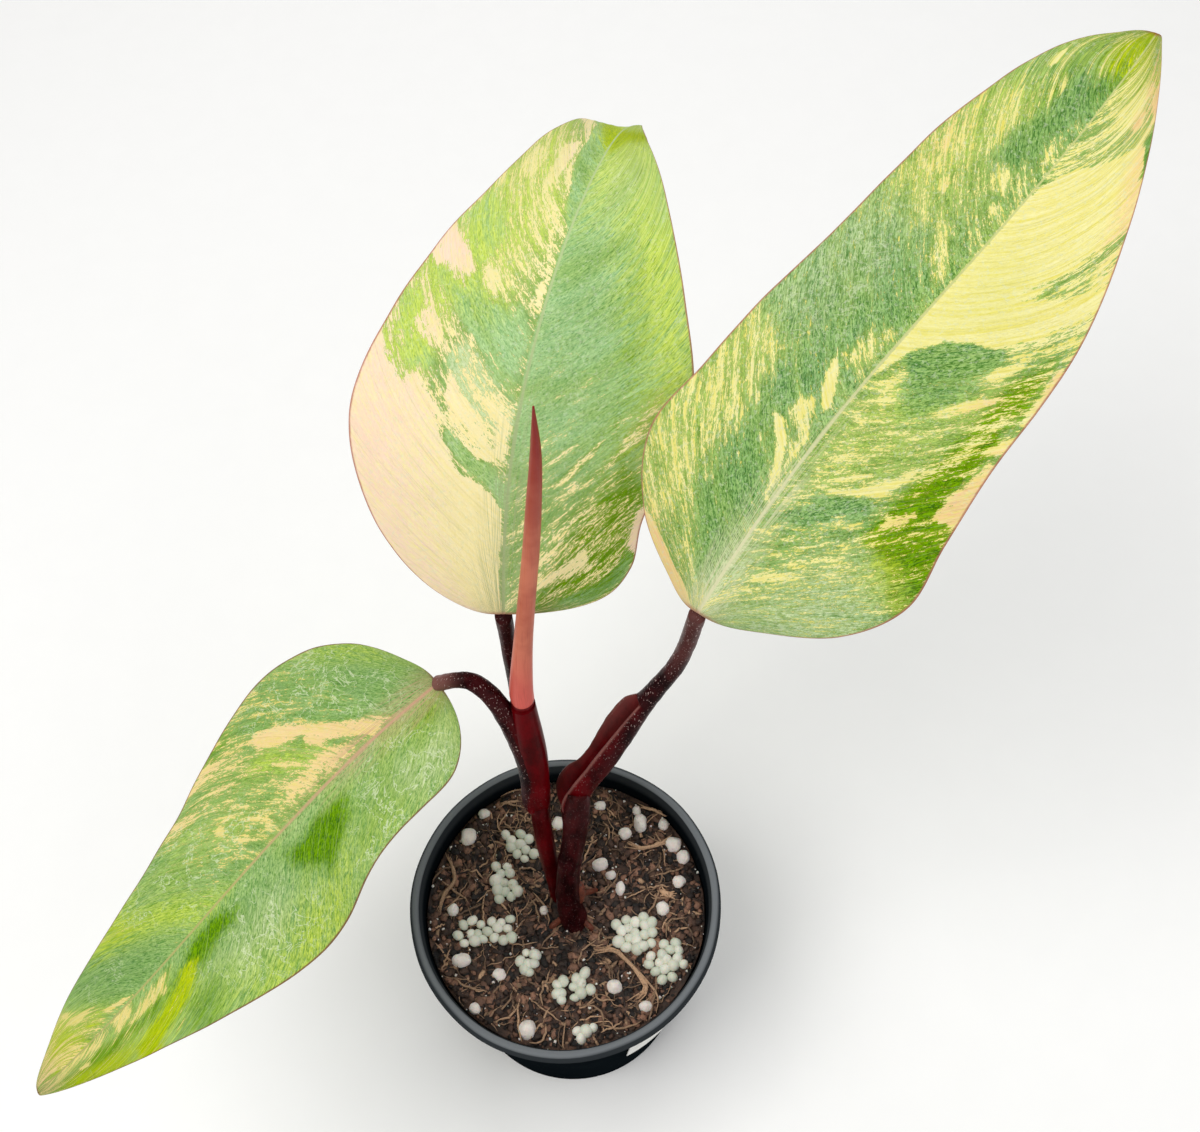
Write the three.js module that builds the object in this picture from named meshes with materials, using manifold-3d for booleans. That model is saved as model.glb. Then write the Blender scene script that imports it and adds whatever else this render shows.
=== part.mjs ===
// A potted "strawberry shake" philodendron: three variegated leaves and one
// rolled new leaf, growing from two stems in a round black nursery pot.
// Millimetres, +Z up. The origin is the middle of the pot's flat base, and
// the plant's front, where the pot's sticker is, faces -Y.
import * as THREE from "three";
import { mergeVertices } from "three/addons/utils/BufferGeometryUtils.js";
import Module from "manifold-3d";

const wasm = await Module();
wasm.setup();

// Driving dimensions.
const GAP = 0.3; // air kept between pieces that touch
const POT_HEIGHT = 84;
const RIM_RADIUS = 52;
const BASE_RADIUS = 38.8;
const SHOULDER_RADIUS = 49; // wall just under the rolled lip
const WALL = 1.3;
const FLOOR = 1.8;
const SOIL_LEVEL = 73.5; // mean height of the soil's surface
const LEAF_THICKNESS = 0.8;
const EDGE_THICKNESS = 0.4;
const MIDRIB_BULGE = 1.6; // how far the midrib stands under the blade
const PRILL_SPACING = 3.1;
const PRILL_RADIUS = 2.0;

// Colours and roughness.
const COLOURS = {
  pot: [0x2b2d30, 0.55],
  soil: [0x2a1c14, 0.95],
  label: [0xeeece6, 0.6],
  leafGreen: [0x7fa65a, 0.45],
  leafLime: [0xa6bf62, 0.45],
  newLeaf: [0xc25a4c, 0.4],
  petiole: [0x4a1519, 0.4],
  redStem: [0x8c1620, 0.4],
  darkStem: [0x3a1014, 0.45],
  root: [0xa34a26, 0.7],
  perlite: [0xe9e4de, 0.9],
  prill: [0xd5dcc9, 0.6],
  bark: [0x6b4226, 0.9],
};

function material(name) {
  const [color, roughness] = COLOURS[name];
  return new THREE.MeshStandardMaterial({ color, roughness, metalness: 0 });
}

const plant = new THREE.Group();

function addPiece(name, geometry, materialName) {
  const mesh = new THREE.Mesh(geometry, material(materialName));
  mesh.name = name;
  plant.add(mesh);
  return mesh;
}

// A closed solid from a geometry, and a geometry from a solid.
function toSolid(geometry) {
  const bare = geometry.index ? geometry.toNonIndexed() : geometry.clone();
  bare.deleteAttribute("normal");
  bare.deleteAttribute("uv");
  const merged = mergeVertices(bare, 1e-3);
  return new wasm.Manifold(
    new wasm.Mesh({
      numProp: 3,
      vertProperties: merged.attributes.position.array,
      triVerts: new Uint32Array(merged.index.array),
    }),
  );
}

function toGeometry(solid) {
  const mesh = solid.getMesh();
  const geometry = new THREE.BufferGeometry();
  const positions = new Float32Array(mesh.numVert * 3);
  for (let i = 0; i < mesh.numVert; i++)
    for (let k = 0; k < 3; k++)
      positions[i * 3 + k] = mesh.vertProperties[i * mesh.numProp + k];
  geometry.setAttribute("position", new THREE.BufferAttribute(positions, 3));
  geometry.setIndex(Array.from(mesh.triVerts));
  geometry.computeVertexNormals();
  return geometry;
}

// The largest body of a solid, because a cut can leave crumbs.
function mainBody(solid) {
  const bodies = solid.decompose();
  bodies.sort((a, b) => b.volume() - a.volume());
  return bodies[0];
}

// A closed skin over rings of points: side walls between neighbouring rings
// and a fan at each end. Every ring has the same number of points and turns
// anticlockwise seen from the last ring.
function skinRings(rings) {
  const count = rings[0].length;
  const points = rings.flat();
  const faces = [];
  for (let r = 0; r + 1 < rings.length; r++)
    for (let i = 0; i < count; i++) {
      const a = r * count + i;
      const b = r * count + ((i + 1) % count);
      faces.push(a, b, b + count, a, b + count, a + count);
    }
  const addCap = (ring, offset, flip) => {
    const middle = new THREE.Vector3();
    ring.forEach((p) => middle.add(p));
    points.push(middle.divideScalar(count));
    const centre = points.length - 1;
    for (let i = 0; i < count; i++) {
      const a = offset + i;
      const b = offset + ((i + 1) % count);
      if (flip) faces.push(centre, b, a);
      else faces.push(centre, a, b);
    }
  };
  addCap(rings[0], 0, true);
  addCap(rings[rings.length - 1], (rings.length - 1) * count, false);
  const geometry = new THREE.BufferGeometry().setFromPoints(points);
  geometry.setIndex(faces);
  geometry.computeVertexNormals();
  return geometry;
}

// A value read smoothly through a list of stations, evenly spaced over 0..1.
function through(values, t) {
  const last = values.length - 1;
  const x = Math.min(Math.max(t, 0), 1) * last;
  const i = Math.min(Math.floor(x), last - 1);
  const f = x - i;
  const b = values[i];
  const c = values[i + 1];
  const a = i > 0 ? values[i - 1] : 2 * b - c;
  const d = i + 2 <= last ? values[i + 2] : 2 * c - b;
  return (
    0.5 *
    (2 * b +
      (c - a) * f +
      (2 * a - 5 * b + 4 * c - d) * f * f +
      (3 * b - 3 * c + d - a) * f * f * f)
  );
}

// A Bezier curve of any order: its point and its unit direction at t.
function bezier(controls, t) {
  let row = controls.map((c) => new THREE.Vector3(...c));
  while (row.length > 2)
    row = row.slice(1).map((p, i) => row[i].clone().lerp(p, t));
  return {
    point: row[0].clone().lerp(row[1], t),
    direction: row[1].clone().sub(row[0]).normalize(),
  };
}

// A round tube of changing radius along places [x, y, z, radius].
function taperedTube(places, { sides = 10, steps = 14, grow = 0 } = {}) {
  const at = (t) =>
    new THREE.Vector3(
      through(places.map((p) => p[0]), t),
      through(places.map((p) => p[1]), t),
      through(places.map((p) => p[2]), t),
    );
  const rings = [];
  for (let s = 0; s <= steps; s++) {
    const t = s / steps;
    const centre = at(t);
    const step = 1e-3;
    const before = at(Math.max(t - step, 0));
    const direction = at(Math.min(t + step, 1)).sub(before).normalize();
    if (s === 0) centre.addScaledVector(direction, -grow);
    if (s === steps) centre.addScaledVector(direction, grow);
    const across = new THREE.Vector3(1, 0.2, 0)
      .cross(direction)
      .normalize();
    const up = direction.clone().cross(across);
    const radius = Math.max(through(places.map((p) => p[3]), t), 0.15) + grow;
    const ring = [];
    for (let i = 0; i < sides; i++) {
      const turn = (i / sides) * 2 * Math.PI;
      ring.push(
        centre
          .clone()
          .addScaledVector(across, radius * Math.cos(turn))
          .addScaledVector(up, radius * Math.sin(turn)),
      );
    }
    rings.push(ring);
  }
  return toSolid(skinRings(rings));
}

// The pot: tapered thin wall, rolled lip, foot ring and six drain holes.
function makePot() {
  const recess = 0.9; // the ring between the centre pad and the foot
  const profile = [
    [0, 0],
    [19, 0],
    [20, recess],
    [BASE_RADIUS - 4, recess],
    [BASE_RADIUS - 3, 0],
    [BASE_RADIUS - 0.9, 0],
    [BASE_RADIUS, recess],
    [SHOULDER_RADIUS, 77.5],
    [SHOULDER_RADIUS + 1.4, 77.9],
    [RIM_RADIUS - 0.4, 78.9],
    [RIM_RADIUS, 80.6],
    [RIM_RADIUS - 0.2, 82.4],
    [RIM_RADIUS - 1, 83.6],
    [RIM_RADIUS - 2.2, POT_HEIGHT],
    [RIM_RADIUS - 3.4, 83.5],
    [RIM_RADIUS - 3.9, 82.3],
    [SHOULDER_RADIUS - WALL, 77],
    [BASE_RADIUS - WALL, FLOOR + 1.2],
    [BASE_RADIUS - WALL - 1.2, FLOOR],
    [0, FLOOR],
  ].map(([r, z]) => new THREE.Vector2(r, z));
  const lathe = new THREE.LatheGeometry(profile, 56);
  lathe.rotateX(Math.PI / 2);
  let pot = toSolid(lathe);
  if (pot.volume() < 0) throw new Error("the pot's profile is reversed");
  const holes = 6;
  for (let i = 0; i < holes; i++) {
    const turn = ((i + 0.5) / holes) * 2 * Math.PI;
    const hole = wasm.Manifold.cylinder(6, 3.8, 3.8, 16).translate([
      28 * Math.cos(turn),
      28 * Math.sin(turn),
      -2,
    ]);
    pot = pot.subtract(hole);
  }
  return pot;
}

function innerRadius(z) {
  const foot = BASE_RADIUS - WALL;
  const top = SHOULDER_RADIUS - WALL;
  return foot + ((top - foot) * (z - FLOOR - 1.2)) / (77 - FLOOR - 1.2);
}

// The blank sticker on the wall, right of the front.
function makeLabel() {
  const columns = 10;
  const from = (24 * Math.PI) / 180;
  const to = (43 * Math.PI) / 180;
  const slope = (SHOULDER_RADIUS - BASE_RADIUS) / (77.5 - 0.9);
  const wallRadius = (z) => BASE_RADIUS + slope * (z - 0.9);
  const corner = (turn, z, out) => {
    const r = wallRadius(z) + out;
    return new THREE.Vector3(r * Math.sin(turn), -r * Math.cos(turn), z);
  };
  const rings = [];
  for (let i = 0; i <= columns; i++) {
    const turn = from + ((to - from) * i) / columns;
    rings.push([
      corner(turn, 40, GAP),
      corner(turn, 64, GAP),
      corner(turn, 64, GAP + 0.3),
      corner(turn, 40, GAP + 0.3),
    ]);
  }
  return toSolid(skinRings(rings));
}

// The soil fills the pot to just under the lip and has a lumpy top.
function soilHeight(x, y) {
  const mound = 1.1 * Math.sin(0.09 * x + 0.6) * Math.cos(0.08 * y - 0.4);
  const lumps = 0.5 * Math.sin(0.31 * x + 0.23 * y) * Math.cos(0.27 * y - 0.2 * x);
  const dish = 0.0009 * (x * x + y * y);
  return SOIL_LEVEL + mound + lumps + dish - 0.6;
}

function makeSoil() {
  const around = 36;
  const rings = 6;
  const points = [];
  const faces = [];
  const bottom = FLOOR + GAP + 1.2;
  const edge = innerRadius(SOIL_LEVEL) - 0.5;
  points.push(new THREE.Vector3(0, 0, soilHeight(0, 0)));
  const ringPoint = (r, i, z) => {
    const turn = (i / around) * 2 * Math.PI;
    const x = r * Math.cos(turn);
    const y = r * Math.sin(turn);
    return new THREE.Vector3(x, y, z ?? soilHeight(x, y));
  };
  for (let k = 1; k <= rings; k++)
    for (let i = 0; i < around; i++)
      points.push(ringPoint((edge * k) / rings, i));
  for (let i = 0; i < around; i++)
    points.push(ringPoint(innerRadius(bottom) - 0.5, i, bottom));
  points.push(new THREE.Vector3(0, 0, bottom));
  const at = (k, i) => 1 + (k - 1) * around + (i % around);
  for (let i = 0; i < around; i++) {
    faces.push(0, at(1, i), at(1, i + 1));
    for (let k = 1; k <= rings; k++) {
      faces.push(at(k, i), at(k + 1, i), at(k + 1, i + 1));
      faces.push(at(k, i), at(k + 1, i + 1), at(k, i + 1));
    }
    faces.push(at(rings + 1, i), points.length - 1, at(rings + 1, i + 1));
  }
  const geometry = new THREE.BufferGeometry().setFromPoints(points);
  geometry.setIndex(faces);
  return toSolid(geometry);
}

// Stems and leaf stalks, each a list of places [x, y, z, radius].
const OLD_STEM = [
  [2.6, -5.2, 58, 3.6],
  [2.4, -3.6, 72, 4.2],
  [2.1, 0.3, 86, 4.3],
  [3.1, 4.8, 101, 3.9],
  [4.8, 8.9, 115, 3.9],
  [6.0, 14.0, 129, 4.2],
  [6.6, 16.0, 136, 3.2],
];
const YOUNG_STEM = [
  [-3.2, 3.6, 60, 2.0],
  [-3.0, 5.4, 72, 2.3],
  [-3.8, 7.8, 90, 2.6],
  [-4.8, 10.3, 108, 3.0],
  [-5.5, 13.6, 126, 3.0],
  [-5.9, 15.6, 133, 2.6],
];
const PETIOLE_LEFT = [
  [-6.0, 14.8, 125.5, 2.6],
  [-6.3, 16.4, 130, 4.2],
  [-6.2, 19.1, 140, 4.3],
  [-6.8, 22.0, 152, 4.2],
  [-9.2, 24.7, 166, 3.4],
  [-12.3, 25.3, 179, 2.9],
  [-15.8, 26.1, 188, 2.7],
  [-20.3, 26.1, 194, 2.4],
  [-25.2, 26.8, 193.5, 2.2],
  [-30.4, 28.8, 188.1, 2.3],
];
const SHEATH_LEFT = [
  [-6.3, 18.0, 138, 3.4],
  [-6.8, 21.4, 152, 4.3],
  [-7.6, 23.6, 164, 4.5],
  [-8.4, 24.6, 172, 4.3],
  [-9.6, 24.9, 178, 3.2],
];
const NEW_LEAF = [
  [-6.8, 22.4, 158, 2.6],
  [-7.2, 25.6, 174, 3.7],
  [-7.4, 26.8, 186, 3.4],
  [-5.4, 30.1, 206, 2.9],
  [-3.0, 33.0, 226, 2.6],
  [-0.6, 35.4, 246, 2.45],
  [1.4, 36.9, 266, 2.15],
  [3.0, 37.0, 285, 1.5],
  [3.7, 34.9, 305, 0.25],
];
const PETIOLE_RIGHT = [
  [4.2, 14.6, 125.5, 3.4],
  [4.9, 17.0, 130, 4.7],
  [8.4, 19.7, 137, 4.9],
  [14.0, 22.2, 147, 5.0],
  [19.7, 24.5, 158, 4.6],
  [25.1, 25.9, 170, 3.7],
  [30.6, 26.7, 182, 2.9],
  [35.8, 26.7, 195, 2.6],
  [38.8, 26.4, 208, 2.5],
  [41.0, 23.9, 229.4, 2.4],
];
// The open channel of the right sheath, cut along its upper side.
const GROOVE_RIGHT = [
  [0.4, 15.2, 133, 1.4],
  [4.2, 16.6, 140, 2.8],
  [10.2, 19.0, 150, 3.2],
  [15.9, 21.2, 161, 3.0],
  [20.8, 23.0, 171, 2.6],
  [25.0, 23.0, 182, 1.6],
];
const PETIOLE_BACK = [
  [-5.6, 14.2, 113.5, 2.0],
  [-5.8, 18.6, 118, 3.1],
  [-6.1, 22.0, 124, 3.3],
  [-6.6, 25.6, 134, 3.2],
  [-7.3, 29.0, 146, 3.1],
  [-8.4, 32.6, 160, 2.9],
  [-9.3, 35.2, 176, 2.6],
  [-9.9, 36.2, 196, 2.4],
  [-10.1, 36.0, 212.6, 2.4],
];
const AERIAL_ROOTS = [
  [
    [7.6, -5.6, 80, 1.5],
    [9.6, -7.4, 76, 1.6],
    [11.4, -8.6, 70, 1.2],
    [12.6, -9.6, 63, 0.6],
  ],
  [
    [-3.4, -4.4, 82, 1.3],
    [-5.4, -5.6, 78, 1.5],
    [-7.4, -6.2, 72, 1.1],
    [-9.0, -7.2, 64, 0.5],
  ],
  [
    [6.8, 3.4, 82, 1.1],
    [9.2, 5.2, 78, 1.3],
    [11.2, 7.4, 71, 1.0],
    [12.6, 9.2, 64, 0.5],
  ],
];

// The midrib is a Bezier curve. `face` says, from base to tip, which way the
// upper side looks. Half-widths are read at stations that crowd towards both
// ends. `fold` lifts each half from the midrib, `droop` rounds it down again
// and `ripple` waves one margin.
const LEAVES = {
  leaf_right: {
    midrib: [[41, 24, 230], [85, 75, 272], [111, 77, 292], [164.5, 144, 306]],
    face: [[-0.15, -0.4, 0.9], [-0.35, -0.25, 0.9]],
    left: [1.4, 11, 26.5, 36.5, 35, 34, 32, 31, 29.5, 25, 18.5, 8, 0.6],
    right: [1.4, 15, 33.5, 43, 41, 39, 37, 33.5, 26, 17.5, 9.5, 3.5, 0.6],
    foldLeft: [0.15, 0.2, 0.15, 0.2, 0.3],
    foldRight: [0.1, 0.1, 0.12, 0.2, 0.3],
    droop: 0.1,
    wide: 40,
    ripple: { height: 3, waves: 3, phase: 0.5, side: 1 },
  },
  leaf_back: {
    midrib: [
      [-10, 36, 213],
      [-8, 66, 241],
      [-3, 67, 281],
      [19, 135, 291],
      [36.5, 167.5, 289],
      [35, 178, 232],
    ],
    face: [[0, -0.8, 0.6], [-0.1, 0.1, 0.95], [-0.2, 0.85, 0.6]],
    left: [1.4, 13, 26, 37.5, 44.5, 41.5, 35.5, 25.5, 18, 12, 7.5, 4, 0.6],
    right: [1.4, 24.5, 34, 36, 40, 41, 31.5, 19.5, 7, 2, 2, 1.5, 0.6],
    foldLeft: [0.12, 0.1, 0.05, 0.36, 1.05],
    foldRight: [0.05, -0.1, -0.35, -0.1, -0.35],
    droop: 0.1,
    wide: 45,
    ripple: { height: 0, waves: 1, phase: 0, side: 1 },
  },
  leaf_left: {
    midrib: [[-30.5, 29, 188], [-77.5, -4.5, 177], [-108.5, -39.5, 150], [-153, -62, 118]],
    face: [[-0.2, -0.1, 1], [-0.35, -0.25, 0.9]],
    left: [1.4, 15.5, 24.5, 26.5, 27.5, 31, 30, 25, 17.5, 11, 6, 2.5, 0.6],
    right: [1.4, 12, 28, 39.5, 43, 37.5, 29.5, 24.5, 20.5, 16, 9.5, 4.5, 0.6],
    foldLeft: [0.25, 0.2, 0.15, 0.15, 0.15],
    foldRight: [0.25, 0.2, 0.15, 0.15, 0.15],
    droop: 0.25,
    wide: 34,
    ripple: { height: 5, waves: 2, phase: -0.82, side: -1 },
  },
};

function bladeHeight(leaf, u, w) {
  const reach = Math.abs(w);
  const fold = through(w < 0 ? leaf.foldLeft : leaf.foldRight, u);
  const rounding = 4;
  const lift = fold * (Math.hypot(reach, rounding) - rounding);
  const sag = (leaf.droop * w * w) / leaf.wide;
  const { height, waves, phase, side } = leaf.ripple;
  const wave = Math.sin(2 * Math.PI * waves * u + phase);
  const taper = Math.sqrt(Math.max(Math.sin(Math.PI * u), 0));
  const ripple =
    w * side > 0 ? height * wave * taper * (reach / leaf.wide) ** 2 : 0;
  return lift - sag + ripple;
}

function makeLeaf(leaf, grow = 0) {
  const steps = 26;
  const half = 5;
  const rings = [];
  for (let s = 0; s <= steps; s++) {
    const station = s / steps;
    const u = (1 - Math.cos(Math.PI * station)) / 2;
    const { point, direction } = bezier(leaf.midrib, u);
    const face = bezierVector(leaf.face, u);
    const across = direction.clone().cross(face).normalize();
    const normal = across.clone().cross(direction);
    if (s === 0) point.addScaledVector(direction, -grow);
    const over = [];
    const under = [];
    for (let j = -half; j <= half; j++) {
      const q = j / half;
      const width = through(q < 0 ? leaf.left : leaf.right, station) + grow;
      const w = q * width;
      const h = bladeHeight(leaf, u, w);
      const thick =
        LEAF_THICKNESS - (LEAF_THICKNESS - EDGE_THICKNESS) * q ** 4;
      const rib = MIDRIB_BULGE * (1 - 0.8 * u) * Math.exp(-((w / 2) ** 2));
      const spot = (offset) =>
        point
          .clone()
          .addScaledVector(across, w)
          .addScaledVector(normal, h + offset);
      over.push(spot(thick / 2 + grow));
      under.push(spot(-thick / 2 - rib - grow));
    }
    rings.push([...over, ...under.reverse()]);
  }
  return toSolid(skinRings(rings));
}

function bezierVector(controls, t) {
  let row = controls.map((c) => new THREE.Vector3(...c));
  while (row.length > 1)
    row = row.slice(1).map((p, i) => row[i].clone().lerp(p, t));
  return row[0];
}

// White grains of perlite: [x, y, radius].
const PERLITE = [
  [-27.5, 35, 1.6],
  [-33, 27, 2.3],
  [-7.5, 0.5, 1.5],
  [-38, 1.5, 1.7],
  [13, 37, 1.6],
  [25.5, 34, 1.5],
  [26.5, 29.5, 2.4],
  [21, 26, 1.7],
  [-2, 31, 1.7],
  [34.5, 28.5, 1.6],
  [37.5, 21, 2.0],
  [40.5, 16.5, 2.1],
  [38.5, 8, 1.6],
  [12, 15, 2.2],
  [15.5, 11, 1.6],
  [18.5, 6.5, 1.6],
  [32.5, -1, 2.1],
  [-35, -16, 2.4],
  [-22.5, -21, 1.6],
  [-30.5, -32, 1.5],
  [-13.5, -39.5, 2.1],
  [15, -26.5, 2.0],
  [25, -33.5, 1.6],
];
// Clumps of slow-release fertiliser beads: [x, y, beads, stretch, turn].
const PRILL_CLUMPS = [
  [-21, 11, 12, 2.4, 1.9],
  [-15.5, 24, 10, 1.6, 2.5],
  [-26.5, -6, 18, 1.8, 0.1],
  [-13, -17.5, 7, 1.3, 1.8],
  [1.5, -26, 12, 1.3, 0.4],
  [23, -9, 18, 1.5, 0.5],
  [33, -19, 16, 1.3, 1.2],
  [5.5, -40, 4, 2.2, 0.1],
];
const FIBRES = {
  bark_twig_forked: [
    [21.5, 22.5, 1.0, 0.6],
    [27, 20, 1.6, 0.9],
    [33, 21.5, 1.4, 0.8],
    [37, 24.5, 1.0, 0.4],
  ],
  bark_chip_right: [
    [31.5, 5.5, 0.8, 0.8],
    [34, 4, 1.3, 1.5],
    [36.5, 3, 0.8, 0.7],
  ],
  husk_strand_front: [
    [10, -14, 0.8, 0.5],
    [17, -15.5, 1.3, 0.9],
    [25.5, -27, 1.4, 0.8],
    [22, -31, 0.9, 0.4],
  ],
  bark_twig_left: [
    [-40, 21, 0.9, 0.5],
    [-37.5, 12.5, 1.3, 0.9],
    [-41, 7, 1.2, 0.8],
    [-43, 1, 0.9, 0.5],
  ],
  bark_curl_back: [
    [-22, 38.5, 0.8, 0.5],
    [-19.5, 38.5, 1.4, 0.9],
    [-15.5, 39.5, 0.9, 0.5],
  ],
  bark_twig_rim: [
    [27, 35, 0.9, 0.5],
    [31, 33.5, 1.4, 0.8],
    [35.5, 31, 1.0, 0.5],
  ],
};

// A rough grain: a sphere of few faces pushed in and out by position.
function makeGrain(x, y, radius, grow = 0) {
  const lump = new THREE.IcosahedronGeometry(1, 0);
  const place = lump.getAttribute("position");
  for (let i = 0; i < place.count; i++) {
    const v = new THREE.Vector3().fromBufferAttribute(place, i);
    const bump = 0.14 * Math.sin(5 * v.x + x) * Math.cos(4 * v.y + y);
    v.multiplyScalar((radius + grow) * (1 + bump));
    place.setXYZ(i, v.x + x, v.y + y, v.z + soilHeight(x, y) + 0.35 * radius);
  }
  return toSolid(lump);
}

// Bead centres: the nearest places of a triangular grid to the clump's middle,
// measured so that the clump is longer one way than the other.
function clumpCentres([x, y, beads, stretch, turn]) {
  const spots = [];
  for (let row = -6; row <= 6; row++)
    for (let column = -6; column <= 6; column++) {
      const along = PRILL_SPACING * (column + row / 2);
      const side = PRILL_SPACING * row * Math.sqrt(3 / 4);
      const far = Math.hypot(along / stretch, side) + 1e-3 * (row + 2 * column);
      spots.push({ along, side, far });
    }
  spots.sort((a, b) => a.far - b.far);
  return spots.slice(0, beads).map(({ along, side }) => {
    const px = x + along * Math.cos(turn) - side * Math.sin(turn);
    const py = y + along * Math.sin(turn) + side * Math.cos(turn);
    return [px, py, soilHeight(px, py) + 0.7];
  });
}

function makeBead(centre, radius) {
  const bead = new THREE.IcosahedronGeometry(radius, 0);
  bead.translate(...centre);
  return toSolid(bead);
}

function makeFibre(places, grow = 0) {
  const onSoil = places.map(([x, y, rise, radius]) => [
    x,
    y,
    soilHeight(x, y) + rise,
    radius,
  ]);
  return taperedTube(onSoil, { sides: 6, steps: 6, grow });
}

// The pieces, each cut back where another one needs room.
const grown = { sides: 12, grow: GAP };
const oldStemRoom = taperedTube(OLD_STEM, grown);
const youngStemRoom = taperedTube(YOUNG_STEM, grown);
const newLeafRoom = taperedTube(NEW_LEAF, grown);

const oldStem = taperedTube(OLD_STEM);
const youngStem = taperedTube(YOUNG_STEM).subtract(oldStemRoom);
const newLeaf = taperedTube(NEW_LEAF, { steps: 20 });

const groove = taperedTube(GROOVE_RIGHT, { sides: 12 });
const petioleRight = taperedTube(PETIOLE_RIGHT, { sides: 12, steps: 18 })
  .subtract(groove)
  .subtract(oldStemRoom)
  .subtract(makeLeaf(LEAVES.leaf_right, GAP));
const petioleLeft = taperedTube(PETIOLE_LEFT, { steps: 20 })
  .add(taperedTube(SHEATH_LEFT))
  .subtract(newLeafRoom)
  .subtract(youngStemRoom)
  .subtract(makeLeaf(LEAVES.leaf_left, GAP));
const rightRoom = taperedTube(PETIOLE_RIGHT, { sides: 12, steps: 18, grow: GAP });
const leftRoom = taperedTube(PETIOLE_LEFT, { steps: 20, grow: GAP }).add(
  taperedTube(SHEATH_LEFT, { grow: GAP }),
);
const petioleBack = taperedTube(PETIOLE_BACK, { steps: 16 })
  .subtract(oldStemRoom)
  .subtract(youngStemRoom)
  .subtract(newLeafRoom)
  .subtract(rightRoom)
  .subtract(leftRoom)
  .subtract(makeLeaf(LEAVES.leaf_back, GAP));

let soil = makeSoil().subtract(oldStemRoom).subtract(youngStemRoom);

addPiece("pot", toGeometry(makePot()), "pot");
addPiece("blank_label", toGeometry(makeLabel()), "label");
addPiece("old_stem", toGeometry(oldStem), "darkStem");
addPiece("young_stem", toGeometry(youngStem), "redStem");
addPiece("petiole_right", toGeometry(mainBody(petioleRight)), "petiole");
addPiece("petiole_left", toGeometry(mainBody(petioleLeft)), "petiole");
addPiece("petiole_back", toGeometry(mainBody(petioleBack)), "petiole");
addPiece("new_leaf_rolled", toGeometry(newLeaf), "newLeaf");

for (const [name, leaf] of Object.entries(LEAVES)) {
  const colour = name === "leaf_left" ? "leafLime" : "leafGreen";
  addPiece(name, toGeometry(makeLeaf(leaf)), colour);
}

AERIAL_ROOTS.forEach((places, i) => {
  const root = taperedTube(places, { sides: 8, steps: 8 })
    .subtract(oldStemRoom)
    .subtract(youngStemRoom);
  soil = soil.subtract(taperedTube(places, { sides: 8, steps: 8, grow: GAP }));
  addPiece(`aerial_root_${i + 1}`, toGeometry(root), "root");
});

PERLITE.forEach(([x, y, radius], i) => {
  const number = String(i + 1).padStart(2, "0");
  soil = soil.subtract(makeGrain(x, y, radius, 1.4 * GAP));
  addPiece(`perlite_${number}`, toGeometry(makeGrain(x, y, radius)), "perlite");
});

PRILL_CLUMPS.forEach((clump, i) => {
  const centres = clumpCentres(clump);
  const join = (radius) =>
    centres.map((c) => makeBead(c, radius)).reduce((all, one) => all.add(one));
  soil = soil.subtract(join(PRILL_RADIUS + 1.4 * GAP).hull());
  addPiece(`prill_clump_${i + 1}`, toGeometry(join(PRILL_RADIUS)), "prill");
});

for (const [name, places] of Object.entries(FIBRES)) {
  soil = soil.subtract(makeFibre(places, 1.2 * GAP));
  addPiece(name, toGeometry(makeFibre(places)), "bark");
}

addPiece("soil", toGeometry(soil), "soil");

export default plant;
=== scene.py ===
import math

import bmesh
import bpy
import numpy as np
from mathutils import Matrix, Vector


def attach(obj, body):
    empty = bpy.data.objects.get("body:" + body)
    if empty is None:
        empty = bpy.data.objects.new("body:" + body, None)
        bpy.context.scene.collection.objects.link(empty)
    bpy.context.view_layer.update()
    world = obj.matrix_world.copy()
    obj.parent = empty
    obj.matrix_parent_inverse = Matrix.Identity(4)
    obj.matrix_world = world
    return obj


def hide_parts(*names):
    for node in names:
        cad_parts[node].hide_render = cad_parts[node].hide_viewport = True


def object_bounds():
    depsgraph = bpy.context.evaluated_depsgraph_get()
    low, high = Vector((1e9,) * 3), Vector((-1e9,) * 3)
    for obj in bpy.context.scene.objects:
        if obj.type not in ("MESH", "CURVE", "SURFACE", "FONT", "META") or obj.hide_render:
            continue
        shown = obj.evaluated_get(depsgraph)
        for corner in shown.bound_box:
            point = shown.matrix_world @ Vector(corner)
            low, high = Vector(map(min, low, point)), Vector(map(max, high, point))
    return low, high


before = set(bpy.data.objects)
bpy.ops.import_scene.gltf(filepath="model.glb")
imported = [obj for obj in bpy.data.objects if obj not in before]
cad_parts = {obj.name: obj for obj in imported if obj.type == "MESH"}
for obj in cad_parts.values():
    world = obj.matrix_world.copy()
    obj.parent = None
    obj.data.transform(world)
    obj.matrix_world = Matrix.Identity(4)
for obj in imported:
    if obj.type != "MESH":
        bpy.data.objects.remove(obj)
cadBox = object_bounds()
millimetre = 0.001
print("frame loaded:", len(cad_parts), "nodes")


# Curves


def curveThrough(places, shares):
    # uniform Catmull-Rom curve through evenly spaced places, its ends carried straight on
    places = np.asarray(places, float).reshape(len(places), -1)
    ends = np.vstack([2 * places[0] - places[1], places, 2 * places[-1] - places[-2]])
    spans = len(places) - 1
    along = np.clip(np.asarray(shares, float), 0, 1) * spans
    first = np.minimum(along.astype(int), spans - 1)
    part = (along - first)[:, None]
    a, b, c, d = (ends[first + step] for step in range(4))
    bend = 2 * a - 5 * b + 4 * c - d + part * (3 * (b - c) + d - a)
    return b + 0.5 * part * (c - a + part * bend)


def valueThrough(values, shares):
    # the same curve for single numbers, on an array of any shape
    shares = np.asarray(shares, float)
    return curveThrough(values, shares.ravel())[:, 0].reshape(shares.shape)


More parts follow.
